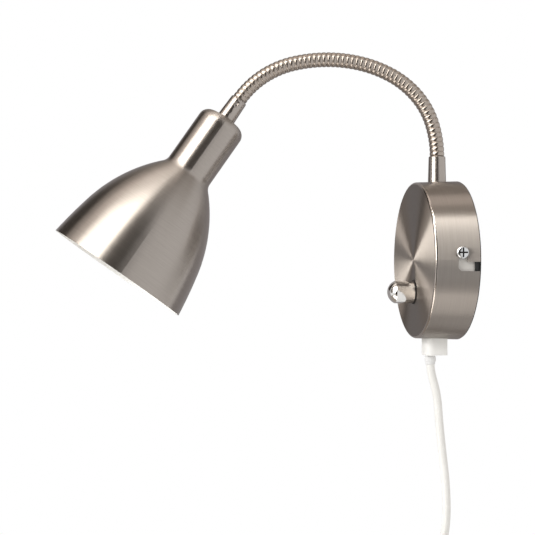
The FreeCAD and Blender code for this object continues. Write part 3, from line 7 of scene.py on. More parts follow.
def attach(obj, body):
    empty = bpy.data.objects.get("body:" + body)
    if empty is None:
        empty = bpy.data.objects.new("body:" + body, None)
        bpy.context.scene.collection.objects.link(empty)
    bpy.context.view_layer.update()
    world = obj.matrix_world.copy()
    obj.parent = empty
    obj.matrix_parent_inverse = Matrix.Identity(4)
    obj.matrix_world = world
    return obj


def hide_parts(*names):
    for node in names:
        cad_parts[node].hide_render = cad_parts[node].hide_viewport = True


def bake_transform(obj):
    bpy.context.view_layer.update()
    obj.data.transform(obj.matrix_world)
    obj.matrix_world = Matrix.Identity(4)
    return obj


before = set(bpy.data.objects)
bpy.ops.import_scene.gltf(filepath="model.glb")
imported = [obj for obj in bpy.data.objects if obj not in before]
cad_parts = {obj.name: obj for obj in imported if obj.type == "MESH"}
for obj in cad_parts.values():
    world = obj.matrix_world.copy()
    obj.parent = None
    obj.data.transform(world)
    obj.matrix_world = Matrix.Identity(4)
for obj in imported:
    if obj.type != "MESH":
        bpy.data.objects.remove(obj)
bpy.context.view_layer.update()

# Bedside wall reading lamp. Metres; the wall is the plane y = 0, the room is on -Y, +Z is up.
MM = 0.001


# ---------------------------------------------------------------- camera
# The photograph was taken at the drum's height, a little in front of the wall and far enough
# round to the right to see the drum's side and its face at once.

CAMERA_PLACE = (0.7983, -0.2497, -0.0045)
CAMERA_TURN = 80.85      # degrees round from looking straight at the wall
CAMERA_LENS = 87.9       # mm on a 36 mm wide frame

camera_data = bpy.data.cameras.new("photo_camera")
camera_data.lens = CAMERA_LENS
camera_data.sensor_width = 36.0
camera = bpy.data.objects.new("photo_camera", camera_data)
bpy.context.scene.collection.objects.link(camera)
camera.location = CAMERA_PLACE
camera.rotation_euler = (math.radians(90), 0, math.radians(CAMERA_TURN))
bpy.context.scene.camera = camera


# ---------------------------------------------------------------- mains cord
# Round two-core PVC cord, white and slightly glossy from the extruder. It leaves the grip under
# the drum, bends back to the wall, and the length put away below hangs in a tied hank.

CORD_WIDTH = 5.2 * MM
DRUM_UNDERSIDE = -50 * MM
CORD_ROUTE = (           # x, y and the height under the drum's underside, in mm
    (0.0, -17.0, 10.4),
    (0.0, -17.0, -9.0),
    (0.0, -17.0, -19.5),
    (0.0, -12.5, -34.5),
    (-0.5, -10.9, -54.0),
    (-1.0, -8.9, -71.0),
    (-1.5, -6.2, -92.0),
    (-8.0, -3.6, -116.0),
    (-20.5, -3.6, -140.0),
    (-27.2, -3.6, -160.0),
)
HANK_RUNS = 9
HANK_HALF_RUN = 42 * MM
HANK_STEP = 6.6 * MM     # between neighbouring runs of one layer
HANK_DRAW_IN = 10.5 * MM # how far the tie pulls each run in at the waist
HANK_LAYER_STEP = 5.9 * MM
HANK_TAIL = 31 * MM

cord_points = [
    Vector((x * MM, y * MM, z * MM + DRUM_UNDERSIDE)) for x, y, z in CORD_ROUTE
]
hank_start = cord_points[-1]
hank_outer = -hank_start.x
hank_top = hank_start.z
hank_bottom = hank_top - 2 * HANK_HALF_RUN
hank_rear = hank_start.y
hank_front = hank_rear - HANK_LAYER_STEP
octagon = math.tan(math.radians(22.5))
last_x = None
for run in range(HANK_RUNS):
    side = -1 if run % 2 == 0 else 1
    rings_in = min(run, HANK_RUNS - 1 - run)
    run_x = side * (hank_outer - rings_in * HANK_STEP / 2)
    waist_x = run_x - side * HANK_DRAW_IN
    y_first = hank_rear if run <= HANK_RUNS // 2 else hank_front
    y_last = hank_rear if run < HANK_RUNS // 2 else hank_front
    start_z, way = (hank_top, -1) if run % 2 == 0 else (hank_bottom, 1)
    if last_x is not None:
        fold_radius = abs(run_x - last_x) / 2
        fold_middle = (run_x + last_x) / 2
        toward = math.copysign(octagon * fold_radius, run_x - last_x)
        fold_y = y_first
        for x, rise in (
            (last_x, octagon * fold_radius),
            (fold_middle - toward, fold_radius),
            (fold_middle + toward, fold_radius),
            (run_x, octagon * fold_radius),
        ):
            cord_points.append(Vector((x, fold_y, start_z - way * rise)))
    for x, share in ((run_x, 0.25), (waist_x, 0.75), (waist_x, 1.25), (run_x, 1.75)):
        y = y_first + (y_last - y_first) * share / 2
        cord_points.append(Vector((x, y, start_z + way * share * HANK_HALF_RUN)))
    last_x = run_x
plug_top = Vector((last_x, hank_front, hank_bottom - HANK_TAIL))
cord_points.append(Vector((last_x, hank_front, hank_bottom - HANK_TAIL / 3)))
cord_points.append(plug_top)

cord_data = bpy.data.curves.new("cord", "CURVE")
cord_data.dimensions = "3D"
cord_data.bevel_depth = 1.0     # times each point's radius
cord_data.bevel_resolution = 6
cord_data.resolution_u = 8
cord_data.use_fill_caps = True
cord_line = cord_data.splines.new("NURBS")
cord_line.points.add(len(cord_points) - 1)
for point, place in zip(cord_line.points, cord_points):
    point.co = (*place, 1)
    point.radius = CORD_WIDTH / 2
cord_line.order_u = 3
cord_line.use_endpoint_u = True
cord = bpy.data.objects.new("cord", cord_data)
bpy.context.scene.collection.objects.link(cord)
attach(cord, "base")
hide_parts("mains_cord", "cord_hank")


def linear(code):
    """An sRGB hex colour as linear red, green, blue and alpha."""
    channels = [int(code[i : i + 2], 16) / 255 for i in (1, 3, 5)]
    return [c / 12.92 if c <= 0.04045 else ((c + 0.055) / 1.055) ** 2.4 for c in channels] + [1]


def add(tree, kind, settings=(), links=()):
    """Adds one shader node, sets its settings and sockets, and links its inputs."""
    made = tree.nodes.new(kind)
    for name, value in dict(settings).items():
        if isinstance(name, int) or name in made.inputs:
            made.inputs[name].default_value = value
        else:
            setattr(made, name, value)
    for name, source in dict(links).items():
        tree.links.new(source, made.inputs[name])
    return made


def start_material(name, **sockets):
    """A material with only its Principled shader, whose plain sockets are set by name."""
    material = bpy.data.materials.new(name)
    material.use_nodes = True
    shader = material.node_tree.nodes["Principled BSDF"]
    for socket, value in sockets.items():
        shader.inputs[socket.replace("_", " ")].default_value = value
    return material, material.node_tree, shader


def dress(material, *names):
    """Gives a material to CAD nodes."""
    for name in names:
        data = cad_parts[name].data
        data.materials.clear()
        data.materials.append(material)


SKIN_BUMP = 0.3              # how strongly the fine grain shows


def uneven(name, tones, patch, shine, grain, relief, **sockets):
    """A finish whose tone and roughness drift over patches of a real size, on a skin with a fine
    grain of a real size and height."""
    material, tree, shader = start_material(name, **sockets)
    place = add(tree, "ShaderNodeTexCoord").outputs["Object"]
    patches = add(tree, "ShaderNodeTexNoise", {"Scale": 1 / patch, "Detail": 3}, {"Vector": place})
    tone = add(
        tree,
        "ShaderNodeMix",
        {"data_type": "RGBA", 6: linear(tones[0]), 7: linear(tones[1])},
        {0: patches.outputs["Fac"]},
    )
    rough = add(
        tree,
        "ShaderNodeMapRange",
        {"To Min": shine[0], "To Max": shine[1]},
        {"Value": patches.outputs["Fac"]},
    )
    skin = add(tree, "ShaderNodeTexNoise", {"Scale": 1 / grain, "Detail": 2}, {"Vector": place})
    bump = add(
        tree, "ShaderNodeBump", {"Strength": SKIN_BUMP, "Distance": relief}, {"Height": skin.outputs["Fac"]}
    )
    tree.links.new(tone.outputs[2], shader.inputs["Base Color"])
    tree.links.new(rough.outputs[0], shader.inputs["Roughness"])
    tree.links.new(bump.outputs["Normal"], shader.inputs["Normal"])
    return material


# Extruded PVC: a soft white shine, a little wavy from the die.
pvc = uneven(
    "extruded_white_pvc", ("#ecebe7", "#f6f5f2"), 9 * MM, (0.3, 0.4), 0.8 * MM, 0.03 * MM, IOR=1.53
)
cord_data.materials.append(pvc)


# ---------------------------------------------------------------- base drum
# A drawn steel cup, nickel plated. Its side was brushed while it turned, so its lines run round
# it, and its face has circular lines; the edge between them is polished.

DRUM_AXIS = (0, 1, 0)
GROOVE_SPACING = 0.45 * MM   # real brushing is finer; drawn this coarse so that it shows
GROOVE_BREAKS = 2.5          # more of it breaks each line into shorter pieces
LINE_ROUGHNESS = 0.05        # how much rougher or smoother than the rest a line can be
LINE_BUMP = 0.12
LINE_DEPTH = 0.02 * MM
LEAST_CONTRAST = 0.3         # of the lines' tones, where there is little or no grain
NICKEL_DARK = "#98918b"
NICKEL_LIGHT = "#b3aba4"
FACE_NORMAL_Y = -0.985       # where the surface looks this far along -Y or further, it is the face
SIDE_NORMAL_Y = -0.1         # and where it looks less far than this, it is the side
FACE_EXTRA_ROUGHNESS = 0.12


def turned_nickel(name, centre, axis, roughness, streaks=0.9, grain=1.0):
    """Satin nickel plating over brushing that runs round an axis. The lines spread a highlight
    across themselves, which gives the wedges on the face and the bands on the side. Streaks is
    how one-sided the spread is, and grain how far the lines differ from each other."""
    material, tree, shader = start_material(
        name, Metallic=1.0, Roughness=roughness, Anisotropic=streaks, Anisotropic_Rotation=0.25
    )
    place = add(tree, "ShaderNodeTexCoord").outputs["Object"]
    away = add(tree, "ShaderNodeVectorMath", {"operation": "SUBTRACT", 1: centre}, {0: place})
    along = add(tree, "ShaderNodeVectorMath", {"operation": "DOT_PRODUCT", 1: axis}, {0: away.outputs[0]})
    lift = add(tree, "ShaderNodeVectorMath", {"operation": "SCALE", 0: axis}, {3: along.outputs["Value"]})
    radial = add(
        tree, "ShaderNodeVectorMath", {"operation": "SUBTRACT"}, {0: away.outputs[0], 1: lift.outputs[0]}
    )
    around = add(tree, "ShaderNodeVectorMath", {"operation": "NORMALIZE"}, {0: radial.outputs[0]})
    groove = add(
        tree, "ShaderNodeVectorMath", {"operation": "CROSS_PRODUCT", 0: axis}, {1: around.outputs[0]}
    )
    groove_way = add(
        tree,
        "ShaderNodeVectorTransform",
        {"vector_type": "VECTOR", "convert_from": "OBJECT", "convert_to": "WORLD"},
        {0: groove.outputs[0]},
    )
    radius = add(tree, "ShaderNodeVectorMath", {"operation": "LENGTH"}, {0: radial.outputs[0]})
    depth = add(
        tree,
        "ShaderNodeMath",
        {"operation": "ADD"},
        {0: radius.outputs["Value"], 1: along.outputs["Value"]},
    )
    fine = add(
        tree, "ShaderNodeMath", {"operation": "DIVIDE", 1: GROOVE_SPACING}, {0: depth.outputs[0]}
    )
    spread = add(
        tree, "ShaderNodeVectorMath", {"operation": "SCALE", 3: GROOVE_BREAKS}, {0: around.outputs[0]}
    )
    lines = add(
        tree,
        "ShaderNodeTexNoise",
        {"noise_dimensions": "4D", "Scale": 1.0, "Detail": 3, "Roughness": 0.6},
        {"Vector": spread.outputs[0], "W": fine.outputs[0]},
    )
    contrast = max(grain, LEAST_CONTRAST)
    shown = add(
        tree,
        "ShaderNodeMapRange",
        {"To Min": 0.5 - contrast / 2, "To Max": 0.5 + contrast / 2},
        {"Value": lines.outputs["Fac"]},
    )
    tone = add(
        tree,
        "ShaderNodeMix",
        {"data_type": "RGBA", 6: linear(NICKEL_DARK), 7: linear(NICKEL_LIGHT)},
        {0: shown.outputs[0]},
    )
    rough = add(
        tree,
        "ShaderNodeMapRange",
        {"To Min": roughness - LINE_ROUGHNESS * grain, "To Max": roughness + LINE_ROUGHNESS * grain},
        {"Value": lines.outputs["Fac"]},
    )
    bump = add(
        tree,
        "ShaderNodeBump",
        {"Strength": LINE_BUMP * grain, "Distance": LINE_DEPTH},
        {"Height": lines.outputs["Fac"]},
    )
    tree.links.new(tone.outputs[2], shader.inputs["Base Color"])
    tree.links.new(rough.outputs[0], shader.inputs["Roughness"])
    tree.links.new(bump.outputs["Normal"], shader.inputs["Normal"])
    tree.links.new(groove_way.outputs[0], shader.inputs["Tangent"])
    return material, tree, shader, rough.outputs[0]


drum_nickel, tree, shader, rough = turned_nickel(
    "satin_nickel_drum", (0, 0, 0), DRUM_AXIS, roughness=0.42, streaks=1.0
)
# The rounded edge is polished: it is where the surface faces neither forwards nor outwards.
polish = add(
    tree,
    "ShaderNodeBsdfPrincipled",
    {"Base Color": linear(NICKEL_LIGHT), "Metallic": 1.0, "Roughness": 0.16},
)
facing = add(tree, "ShaderNodeTexCoord").outputs["Normal"]
forwards = add(tree, "ShaderNodeSeparateXYZ", (), {0: facing}).outputs["Y"]
not_face = add(tree, "ShaderNodeMath", {"operation": "GREATER_THAN", 1: FACE_NORMAL_Y}, {0: forwards})
# The face is brushed more deeply than the side.
deeper = add(
    tree,
    "ShaderNodeMath",
    {"operation": "MULTIPLY_ADD", 1: -FACE_EXTRA_ROUGHNESS, 2: FACE_EXTRA_ROUGHNESS},
    {0: not_face.outputs[0]},
)
face_rough = add(tree, "ShaderNodeMath", {"operation": "ADD"}, {0: rough, 1: deeper.outputs[0]})
tree.links.new(face_rough.outputs[0], shader.inputs["Roughness"])
not_side = add(tree, "ShaderNodeMath", {"operation": "LESS_THAN", 1: SIDE_NORMAL_Y}, {0: forwards})
on_edge = add(
    tree,
    "ShaderNodeMath",
    {"operation": "MULTIPLY"},
    {0: not_face.outputs[0], 1: not_side.outputs[0]},
)
whole = add(
    tree,
    "ShaderNodeMixShader",
    (),
    {0: on_edge.outputs[0], 1: shader.outputs[0], 2: polish.outputs[0]},
)
tree.links.new(whole.outputs[0], tree.nodes["Material Output"].inputs["Surface"])
dress(drum_nickel, "base_cover")


# ---------------------------------------------------------------- shade
# Spun steel: a bell that ends in a round neck. Satin nickel outside, with the spinning lathe's
# lines round it, and white lacquer inside that throws the light back.

HEAD_END = Vector((0, -0.138720, 0.098971))   # the gooseneck's end
HEAD_TURN = math.radians(145)                 # from straight up, over the room
HEAD_AXIS = Vector((0, -math.sin(HEAD_TURN), math.cos(HEAD_TURN)))

shade_nickel, tree, shader = turned_nickel(
    "satin_nickel_shade", HEAD_END, HEAD_AXIS, roughness=0.34
)[:3]
# White stove lacquer on the inner wall, which is where the surface faces the shade's axis.
lacquer = add(
    tree,
    "ShaderNodeBsdfPrincipled",
    {"Base Color": linear("#f7f6f3"), "Roughness": 0.45, "IOR": 1.5},
)
coords = add(tree, "ShaderNodeTexCoord")
from_end = add(
    tree, "ShaderNodeVectorMath", {"operation": "SUBTRACT", 1: HEAD_END}, {0: coords.outputs["Object"]}
)
height = add(
    tree, "ShaderNodeVectorMath", {"operation": "DOT_PRODUCT", 1: HEAD_AXIS}, {0: from_end.outputs[0]}
)
on_axis = add(
    tree, "ShaderNodeVectorMath", {"operation": "SCALE", 0: HEAD_AXIS}, {3: height.outputs["Value"]}
)
outward = add(
    tree, "ShaderNodeVectorMath", {"operation": "SUBTRACT"}, {0: from_end.outputs[0], 1: on_axis.outputs[0]}
)
facing = add(
    tree,
    "ShaderNodeVectorMath",
    {"operation": "DOT_PRODUCT"},
    {0: coords.outputs["Normal"], 1: outward.outputs[0]},
)
inside = add(tree, "ShaderNodeMath", {"operation": "LESS_THAN", 1: 0.0}, {0: facing.outputs["Value"]})
both = add(
    tree,
    "ShaderNodeMixShader",
    (),
    {0: inside.outputs[0], 1: shader.outputs[0], 2: lacquer.outputs[0]},
)
tree.links.new(both.outputs[0], tree.nodes["Material Output"].inputs["Surface"])
dress(shade_nickel, "shade")


# ---------------------------------------------------------------- gooseneck
# A hose wound from flattened steel wire with a thin wire pressed between its turns, so it stays
# where it is bent. Nickel plated; every turn shows as a bright ring.

NECK_START = Vector((0, -0.0126, 0.065706))
NECK_TURNS = (18.0, 25.0, 21.0, 15.0, 13.0, 12.0, 20.0, 21.0)
NECK_STRETCH = 21 * MM
RIB_PITCH = 3 * MM
HOSE_RADIUS = 4.6 * MM
WIRE_WIDTH = 2.8 * MM
WIRE_DEPTH = 1.0 * MM
FILLER_WIDTH = 0.7 * MM
FILLER_DEPTH = 0.7 * MM
FILLER_SUNK = 0.28 * MM      # how far the filler's crest lies below the wire's
HOSE_SIDES = 48
WIRE_SIDES = 16
BENDS = len(NECK_TURNS) - 1  # one joint between each two stretches


def neck_step(place, length, turn):
    """The place after an arc that leaves a place along its local Z and bends about its X."""
    angle = math.radians(turn)
    bend_radius = length / angle
    shift = Matrix.Translation((0, -bend_radius * (1 - math.cos(angle)), bend_radius * math.sin(angle)))
    return place @ shift @ Matrix.Rotation(angle, 4, "X")


neck_places = [Matrix.Translation(NECK_START)]
for turn in NECK_TURNS:
    neck_places.append(neck_step(neck_places[-1], NECK_STRETCH, turn))


def choose_only(*objects):
    """Selects only these objects, and makes the first the active one."""
    bpy.ops.object.select_all(action="DESELECT")
    for obj in objects:
        obj.select_set(True)
    bpy.context.view_layer.objects.active = objects[0]


# the hose's middle line, for the Curve modifier
bpy.ops.object.select_all(action="DESELECT")
bpy.ops.curve.primitive_bezier_curve_add(enter_editmode=False, location=(0, 0, 0))
neck_line = bpy.context.object
neck_line.data.resolution_u = 48
spline = neck_line.data.splines[0]
spline.bezier_points.add(len(neck_places) - 2)
for number, (point, here) in enumerate(zip(spline.bezier_points, neck_places)):
    before = NECK_TURNS[max(number - 1, 0)]
    after = NECK_TURNS[min(number, len(NECK_TURNS) - 1)]
    way = here.to_3x3() @ Vector((0, 0, 1))
    point.co = here.translation
    point.handle_left_type = point.handle_right_type = "FREE"
    reach = [
        4 / 3 * math.tan(math.radians(turn) / 4) * NECK_STRETCH / math.radians(turn)
        for turn in (before, after)
    ]
    point.handle_left = here.translation - way * reach[0]
    point.handle_right = here.translation + way * reach[1]


def ribs(name, first, count):
    """A run of turns of the hose, from the given turn on, laid along the hose's line."""
    middle = (first + 0.5) * RIB_PITCH
    turns = []
    for width, depth, crest, height in (
        (WIRE_WIDTH, WIRE_DEPTH, HOSE_RADIUS, middle),
        (FILLER_WIDTH, FILLER_DEPTH, HOSE_RADIUS - FILLER_SUNK, middle + RIB_PITCH / 2),
    ):
        bpy.ops.object.select_all(action="DESELECT")
        bpy.ops.mesh.primitive_torus_add(
            major_radius=crest - depth / 2,
            minor_radius=depth / 2,
            major_segments=HOSE_SIDES,
            minor_segments=WIRE_SIDES,
            location=(0, 0, height),
        )
        turns.append(bpy.context.object)
        turns[-1].scale = (1, 1, width / depth)
    wire, filler = turns
    choose_only(wire, filler)
    bpy.ops.object.join()
    wire.name = wire.data.name = name
    bpy.ops.object.transform_apply(location=True, rotation=True, scale=True)
    array = wire.modifiers.new("turns", "ARRAY")
    array.use_relative_offset = False
    array.use_constant_offset = True
    array.constant_offset_displace = (0, 0, RIB_PITCH)
    array.count = count
    follow = wire.modifiers.new("follow", "CURVE")
    follow.object = neck_line
    follow.deform_axis = "POS_Z"
    bpy.ops.object.modifier_apply(modifier="turns")
    bpy.ops.object.modifier_apply(modifier="follow")
    bpy.ops.object.shade_smooth()
    wire.data.materials.append(wire_nickel)
    return wire


# Drawn wire under bright nickel: each turn catches the light as a white block.
wire_nickel = uneven(
    "nickel_plated_wire", ("#978d84", "#b4aaa1"), 1.5 * MM, (0.22, 0.32), 0.8 * MM, 0.002 * MM, Metallic=1.0
)

TURNS_ON_BASE = 3
TURNS_PER_BEND = 7
TURNS_ON_HEAD = 4
foot_turns = ribs("hose_turns_base", 0, TURNS_ON_BASE)
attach(foot_turns, "base")
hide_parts("neck_stretch_1")
for number in range(BENDS):
    first = TURNS_ON_BASE + number * TURNS_PER_BEND
    bend = ribs("hose_turns_bend_%d" % (number + 1), first, TURNS_PER_BEND)
    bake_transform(bend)
    if number:
        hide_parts("neck_stretch_%d" % (number + 1))
head_turns = ribs("hose_turns_head", TURNS_ON_BASE + BENDS * TURNS_PER_BEND, TURNS_ON_HEAD)
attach(head_turns, "head")
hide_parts("neck_stretch_%d" % len(NECK_TURNS))
bpy.data.objects.remove(neck_line)


# ---------------------------------------------------------------- sleeves of the hose
# Turned brass, nickel plated and brushed round: one stands on the drum, one on the shade. Each
# is held from inside by a washer and a nut on its thread.

ARM_MIDDLE = (0, -0.0126, 0)
DIMPLE_RADIUS = 1.3 * MM     # the crimping tool's tip
DIMPLE_DEPTH = 0.55 * MM
DIMPLE_FROM_END = 4.0 * MM
SAME_CORNER = 0.001 * MM     # corners nearer than this are merged
END_RING = 0.5 * MM          # the corners this near the sleeve's end give its radius
SLEEVE_ROUGHNESS = 0.3
SLEEVE_STREAKS = 0.8
SLEEVE_CREASE = math.radians(35)     # an edge sharper than this stays sharp


def cut_away(made, cutter):
    """Takes a cutter's space out of a piece."""
    choose_only(made)
    carve = made.modifiers.new("carve", "BOOLEAN")
    carve.operation = "DIFFERENCE"
    carve.solver = "EXACT"
    carve.material_mode = "TRANSFER"
    carve.object = cutter
    bpy.ops.object.modifier_apply(modifier="carve")
    bpy.data.objects.remove(cutter)


base_sleeve_nickel = turned_nickel(
    "satin_nickel_base_sleeve", ARM_MIDDLE, (0, 0, 1), SLEEVE_ROUGHNESS, SLEEVE_STREAKS, 0.0
)[0]
dress(base_sleeve_nickel, "base_sleeve")

# The head's sleeve is pinched on the hose with one punch mark, which is added to a copy.
bpy.ops.object.select_all(action="DESELECT")
head_sleeve = bpy.data.objects.new("crimped_head_sleeve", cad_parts["head_sleeve"].data.copy())
bpy.context.scene.collection.objects.link(head_sleeve)
head_sleeve_nickel = turned_nickel(
    "satin_nickel_head_sleeve", HEAD_END, HEAD_AXIS, SLEEVE_ROUGHNESS, SLEEVE_STREAKS, 0.0
)[0]
head_sleeve.data.materials.clear()
head_sleeve.data.materials.append(head_sleeve_nickel)
choose_only(head_sleeve)
bpy.ops.object.mode_set(mode="EDIT")
bpy.ops.mesh.select_all(action="SELECT")
bpy.ops.mesh.remove_doubles(threshold=SAME_CORNER)
bpy.ops.object.mode_set(mode="OBJECT")
heights = [(vertex.co - HEAD_END).dot(HEAD_AXIS) for vertex in head_sleeve.data.vertices]
hose_end = [
    vertex.co
    for vertex, height in zip(head_sleeve.data.vertices, heights)
    if height < min(heights) + END_RING
]
sleeve_radius = max(corner.x for corner in hose_end)
dimple_place = HEAD_END + HEAD_AXIS * (min(heights) + DIMPLE_FROM_END)
dimple_place.x = sleeve_radius + DIMPLE_RADIUS - DIMPLE_DEPTH
bpy.ops.object.select_all(action="DESELECT")
bpy.ops.mesh.primitive_uv_sphere_add(
    segments=24, ring_count=16, radius=DIMPLE_RADIUS, location=dimple_place
)
cut_away(head_sleeve, bpy.context.object)
choose_only(head_sleeve)
bpy.ops.object.shade_smooth_by_angle(angle=SLEEVE_CREASE)
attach(head_sleeve, "head")
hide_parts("head_sleeve")


# ---------------------------------------------------------------- knob
# Turned brass with bright chrome, pushed on the dimmer's shaft; a thin dark fibre washer shows
# at its foot.

# Chrome mirrors the room; only a trace of the turning is left in it.
chrome = uneven(
    "bright_chrome", ("#d6d4d0", "#e4e2df"), 6 * MM, (0.05, 0.1), 1.2 * MM, 0.002 * MM, Metallic=1.0
)
dress(chrome, "knob")
# Pressed fibre: a dull, mottled black line.
fibre = uneven("dark_fibre", ("#151312", "#2a2523"), 0.8 * MM, (0.6, 0.8), 0.25 * MM, 0.04 * MM)
dress(fibre, "face_washer")


# ---------------------------------------------------------------- locking screws
# Two pan-head steel screws, bright zinc plated, with a cross recess. They hold the drum in its
# L-shaped slots, one on each side.

SCREW_HEAD_HEIGHT = 2.4 * MM
SCREW_HEAD_SIDE = 0.7 * MM   # the upright part of the head
SCREW_THREAD_RADIUS = 2.0 * MM
SCREW_DOME_STEPS = 9
SCREW_DOME_LEAN = math.radians(80)   # how far the dome is drawn before its flat crown
SCREW_DOME_FULLNESS = 0.6            # 1 gives an elliptical dome, and less a fuller shoulder
SCREW_CREASE = math.radians(40)      # an edge sharper than this stays sharp
SEAT_REACH = 0.1 * MM        # corners up to this far under the seat count as the head's
ROUND_SIDES = 64
RECESS_SPAN = 5.8 * MM
RECESS_WIDTH = 0.95 * MM
RECESS_DEPTH = 1.5 * MM


def turned(name, profile):
    """A piece turned about Z, raised ring by ring through pairs of radius and height."""
    bpy.ops.object.select_all(action="DESELECT")
    bpy.ops.mesh.primitive_circle_add(
        vertices=ROUND_SIDES, radius=profile[0][0], fill_type="NGON", location=(0, 0, profile[0][1])
    )
    made = bpy.context.object
    made.name = made.data.name = name
    bpy.ops.object.transform_apply(location=True)
    bpy.ops.object.mode_set(mode="EDIT")
    bpy.ops.mesh.select_all(action="SELECT")
    for (radius, height), (next_radius, next_height) in zip(profile, profile[1:]):
        bpy.ops.mesh.extrude_region_move(TRANSFORM_OT_translate={"value": (0, 0, next_height - height)})
        share = next_radius / radius
        bpy.ops.transform.resize(value=(share, share, 1), center_override=(0, 0, next_height))
    bpy.ops.mesh.select_all(action="SELECT")
    bpy.ops.mesh.normals_make_consistent(inside=False)
    bpy.ops.object.mode_set(mode="OBJECT")
    return made


def settle(made, place):
    """Moves a piece to its place and leaves its origin at the world's."""
    choose_only(made)
    made.matrix_world = place
    bpy.ops.object.transform_apply(location=True, rotation=True, scale=True)


# Zinc: a cool, bright metal, a little cloudy.
zinc = uneven(
    "bright_zinc", ("#bfc1c3", "#dcdcdb"), 3 * MM, (0.18, 0.32), 0.5 * MM, 0.006 * MM, Metallic=1.0
)
# The recess is painted dark to stand for the shade inside it, so it reads as a black cross.
recess_shade = uneven(
    "painted_shade_recess", ("#1d1a17", "#332e29"), 1 * MM, (0.4, 0.6), 0.3 * MM, 0.01 * MM, Metallic=0.5
)
near_corners = [
    vertex.co.copy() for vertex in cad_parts["lock_screws"].data.vertices if vertex.co.x > 0
]
thread_end = min(corner.x for corner in near_corners)
head_top = max(corner.x for corner in near_corners)
head_seat = head_top - SCREW_HEAD_HEIGHT
head_corners = [corner for corner in near_corners if corner.x > head_seat - SEAT_REACH]
head_low = min(corner.z for corner in head_corners)
head_high = max(corner.z for corner in head_corners)
head_width = head_high - head_low
screw_y = (min(corner.y for corner in head_corners) + max(corner.y for corner in head_corners)) / 2
screw_z = (head_low + head_high) / 2
screw_profile = [
    (SCREW_THREAD_RADIUS, thread_end - head_seat),
    (SCREW_THREAD_RADIUS, 0),
    (head_width / 2, 0),
]
for step in range(SCREW_DOME_STEPS):
    lean = SCREW_DOME_LEAN * step / (SCREW_DOME_STEPS - 1)
    dome_height = SCREW_HEAD_SIDE + (SCREW_HEAD_HEIGHT - SCREW_HEAD_SIDE) * math.sin(lean)
    screw_profile.append((head_width / 2 * math.cos(lean) ** SCREW_DOME_FULLNESS, dome_height))
screw = turned("lock_screws_with_recess", screw_profile)
screw.data.materials.append(zinc)
for quarter in range(2):
    bpy.ops.object.select_all(action="DESELECT")
    bpy.ops.mesh.primitive_cube_add(
        size=1,
        location=(0, 0, SCREW_HEAD_HEIGHT),
        rotation=(0, 0, math.radians(90 * quarter)),
        scale=(RECESS_SPAN, RECESS_WIDTH, 2 * RECESS_DEPTH),
    )
    wing = bpy.context.object
    wing.data.materials.append(recess_shade)
    cut_away(screw, wing)
near_seat = Matrix.Translation((head_seat, screw_y, screw_z))
settle(screw, near_seat @ Matrix.Rotation(math.radians(90), 4, "Y"))
far_screw = screw.copy()
far_screw.data = screw.data.copy()
bpy.context.scene.collection.objects.link(far_screw)
settle(far_screw, Matrix.Rotation(math.radians(180), 4, "Y"))
choose_only(screw, far_screw)
bpy.ops.object.join()
bpy.ops.object.shade_smooth_by_angle(angle=SCREW_CREASE)
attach(screw, "base")
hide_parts("lock_screws")
dress(
    zinc,
    "sleeve_washer",
    "sleeve_nut",
    "bush_nut",
    "clamp_screws",
    "terminal_screws",
    "head_washer",
    "head_nut",
    "dimmer_shaft",
    "dimmer_pot",
)


# ---------------------------------------------------------------- bracket and plate
# The bracket is a bent steel strip with clear passivated zinc; its ear shows in the slot. The plate on the
# wall is powder coated black, and its edge shows behind the drum; that black edge is also painted shade for
# the gap there.

# Passivated zinc on rolled strip: a pale, dull grey that hardly mirrors.
passivated = uneven(
    "clear_passivated_zinc", ("#dedad6", "#eae7e1"), 8 * MM, (0.42, 0.55), 0.7 * MM, 0.01 * MM, Metallic=0.1
)
dress(passivated, "wall_bracket")
# Powder coat flows out with an orange-peel skin. Its black is partly the plate's own and partly painted
# shade.
black_coat_and_gap_shade = uneven("black_plate_and_gap_shade", ("#0b0b0c", "#151516"), 5 * MM, (0.42, 0.55), 0.7 * MM, 0.05 * MM)
dress(black_coat_and_gap_shade, "back_plate")


# ---------------------------------------------------------------- cord grip and its sleeve
# The grip is a moulded ABS block with the fine spark-eroded grain of its tool. Where the cord
# leaves it, a short soft sleeve with a raised ring takes up the bending.

CORD_SLEEVE_RADIUS = 3.05 * MM
CORD_SLEEVE_TOP = -55.6 * MM
CORD_SLEEVE_END = -65.6 * MM
RING_RADIUS = 3.55 * MM
RING_HALF_WIDTH = 1.45 * MM
RING_SLOPE = 0.3 * MM
RING_HEIGHT = -62.3 * MM
RING_CREASE = math.radians(30)       # an edge sharper than this stays sharp
END_BEVEL_WIDTH = 0.2 * MM
END_BEVEL_HEIGHT = 0.3 * MM
SLEEVE_FIT = 0.03 * MM       # between the sleeve's bore and the cord
BORE_LENGTH = 30 * MM        # of the cutter, which passes both ends

# Moulded ABS: an even white with a faint, fine grain.
abs_white = uneven(
    "moulded_white_abs", ("#eeedea", "#f4f3f0"), 14 * MM, (0.38, 0.46), 0.2 * MM, 0.012 * MM, IOR=1.54
)
dress(abs_white, "cord_grip", "cord_clamp", "plug_body", "hank_tie", "terminal_block", "dimmer_case")
ring_profile = [
    (CORD_SLEEVE_RADIUS - END_BEVEL_WIDTH, CORD_SLEEVE_END),
    (CORD_SLEEVE_RADIUS, CORD_SLEEVE_END + END_BEVEL_HEIGHT),
    (CORD_SLEEVE_RADIUS, RING_HEIGHT - RING_HALF_WIDTH - RING_SLOPE),
    (RING_RADIUS, RING_HEIGHT - RING_HALF_WIDTH),
    (RING_RADIUS, RING_HEIGHT + RING_HALF_WIDTH),
    (CORD_SLEEVE_RADIUS, RING_HEIGHT + RING_HALF_WIDTH + RING_SLOPE),
    (CORD_SLEEVE_RADIUS, CORD_SLEEVE_TOP),
]
cord_sleeve = turned("ringed_cord_sleeve", ring_profile)
settle(cord_sleeve, Matrix.Translation((0, cord_points[0].y, 0)))
bpy.ops.object.select_all(action="DESELECT")
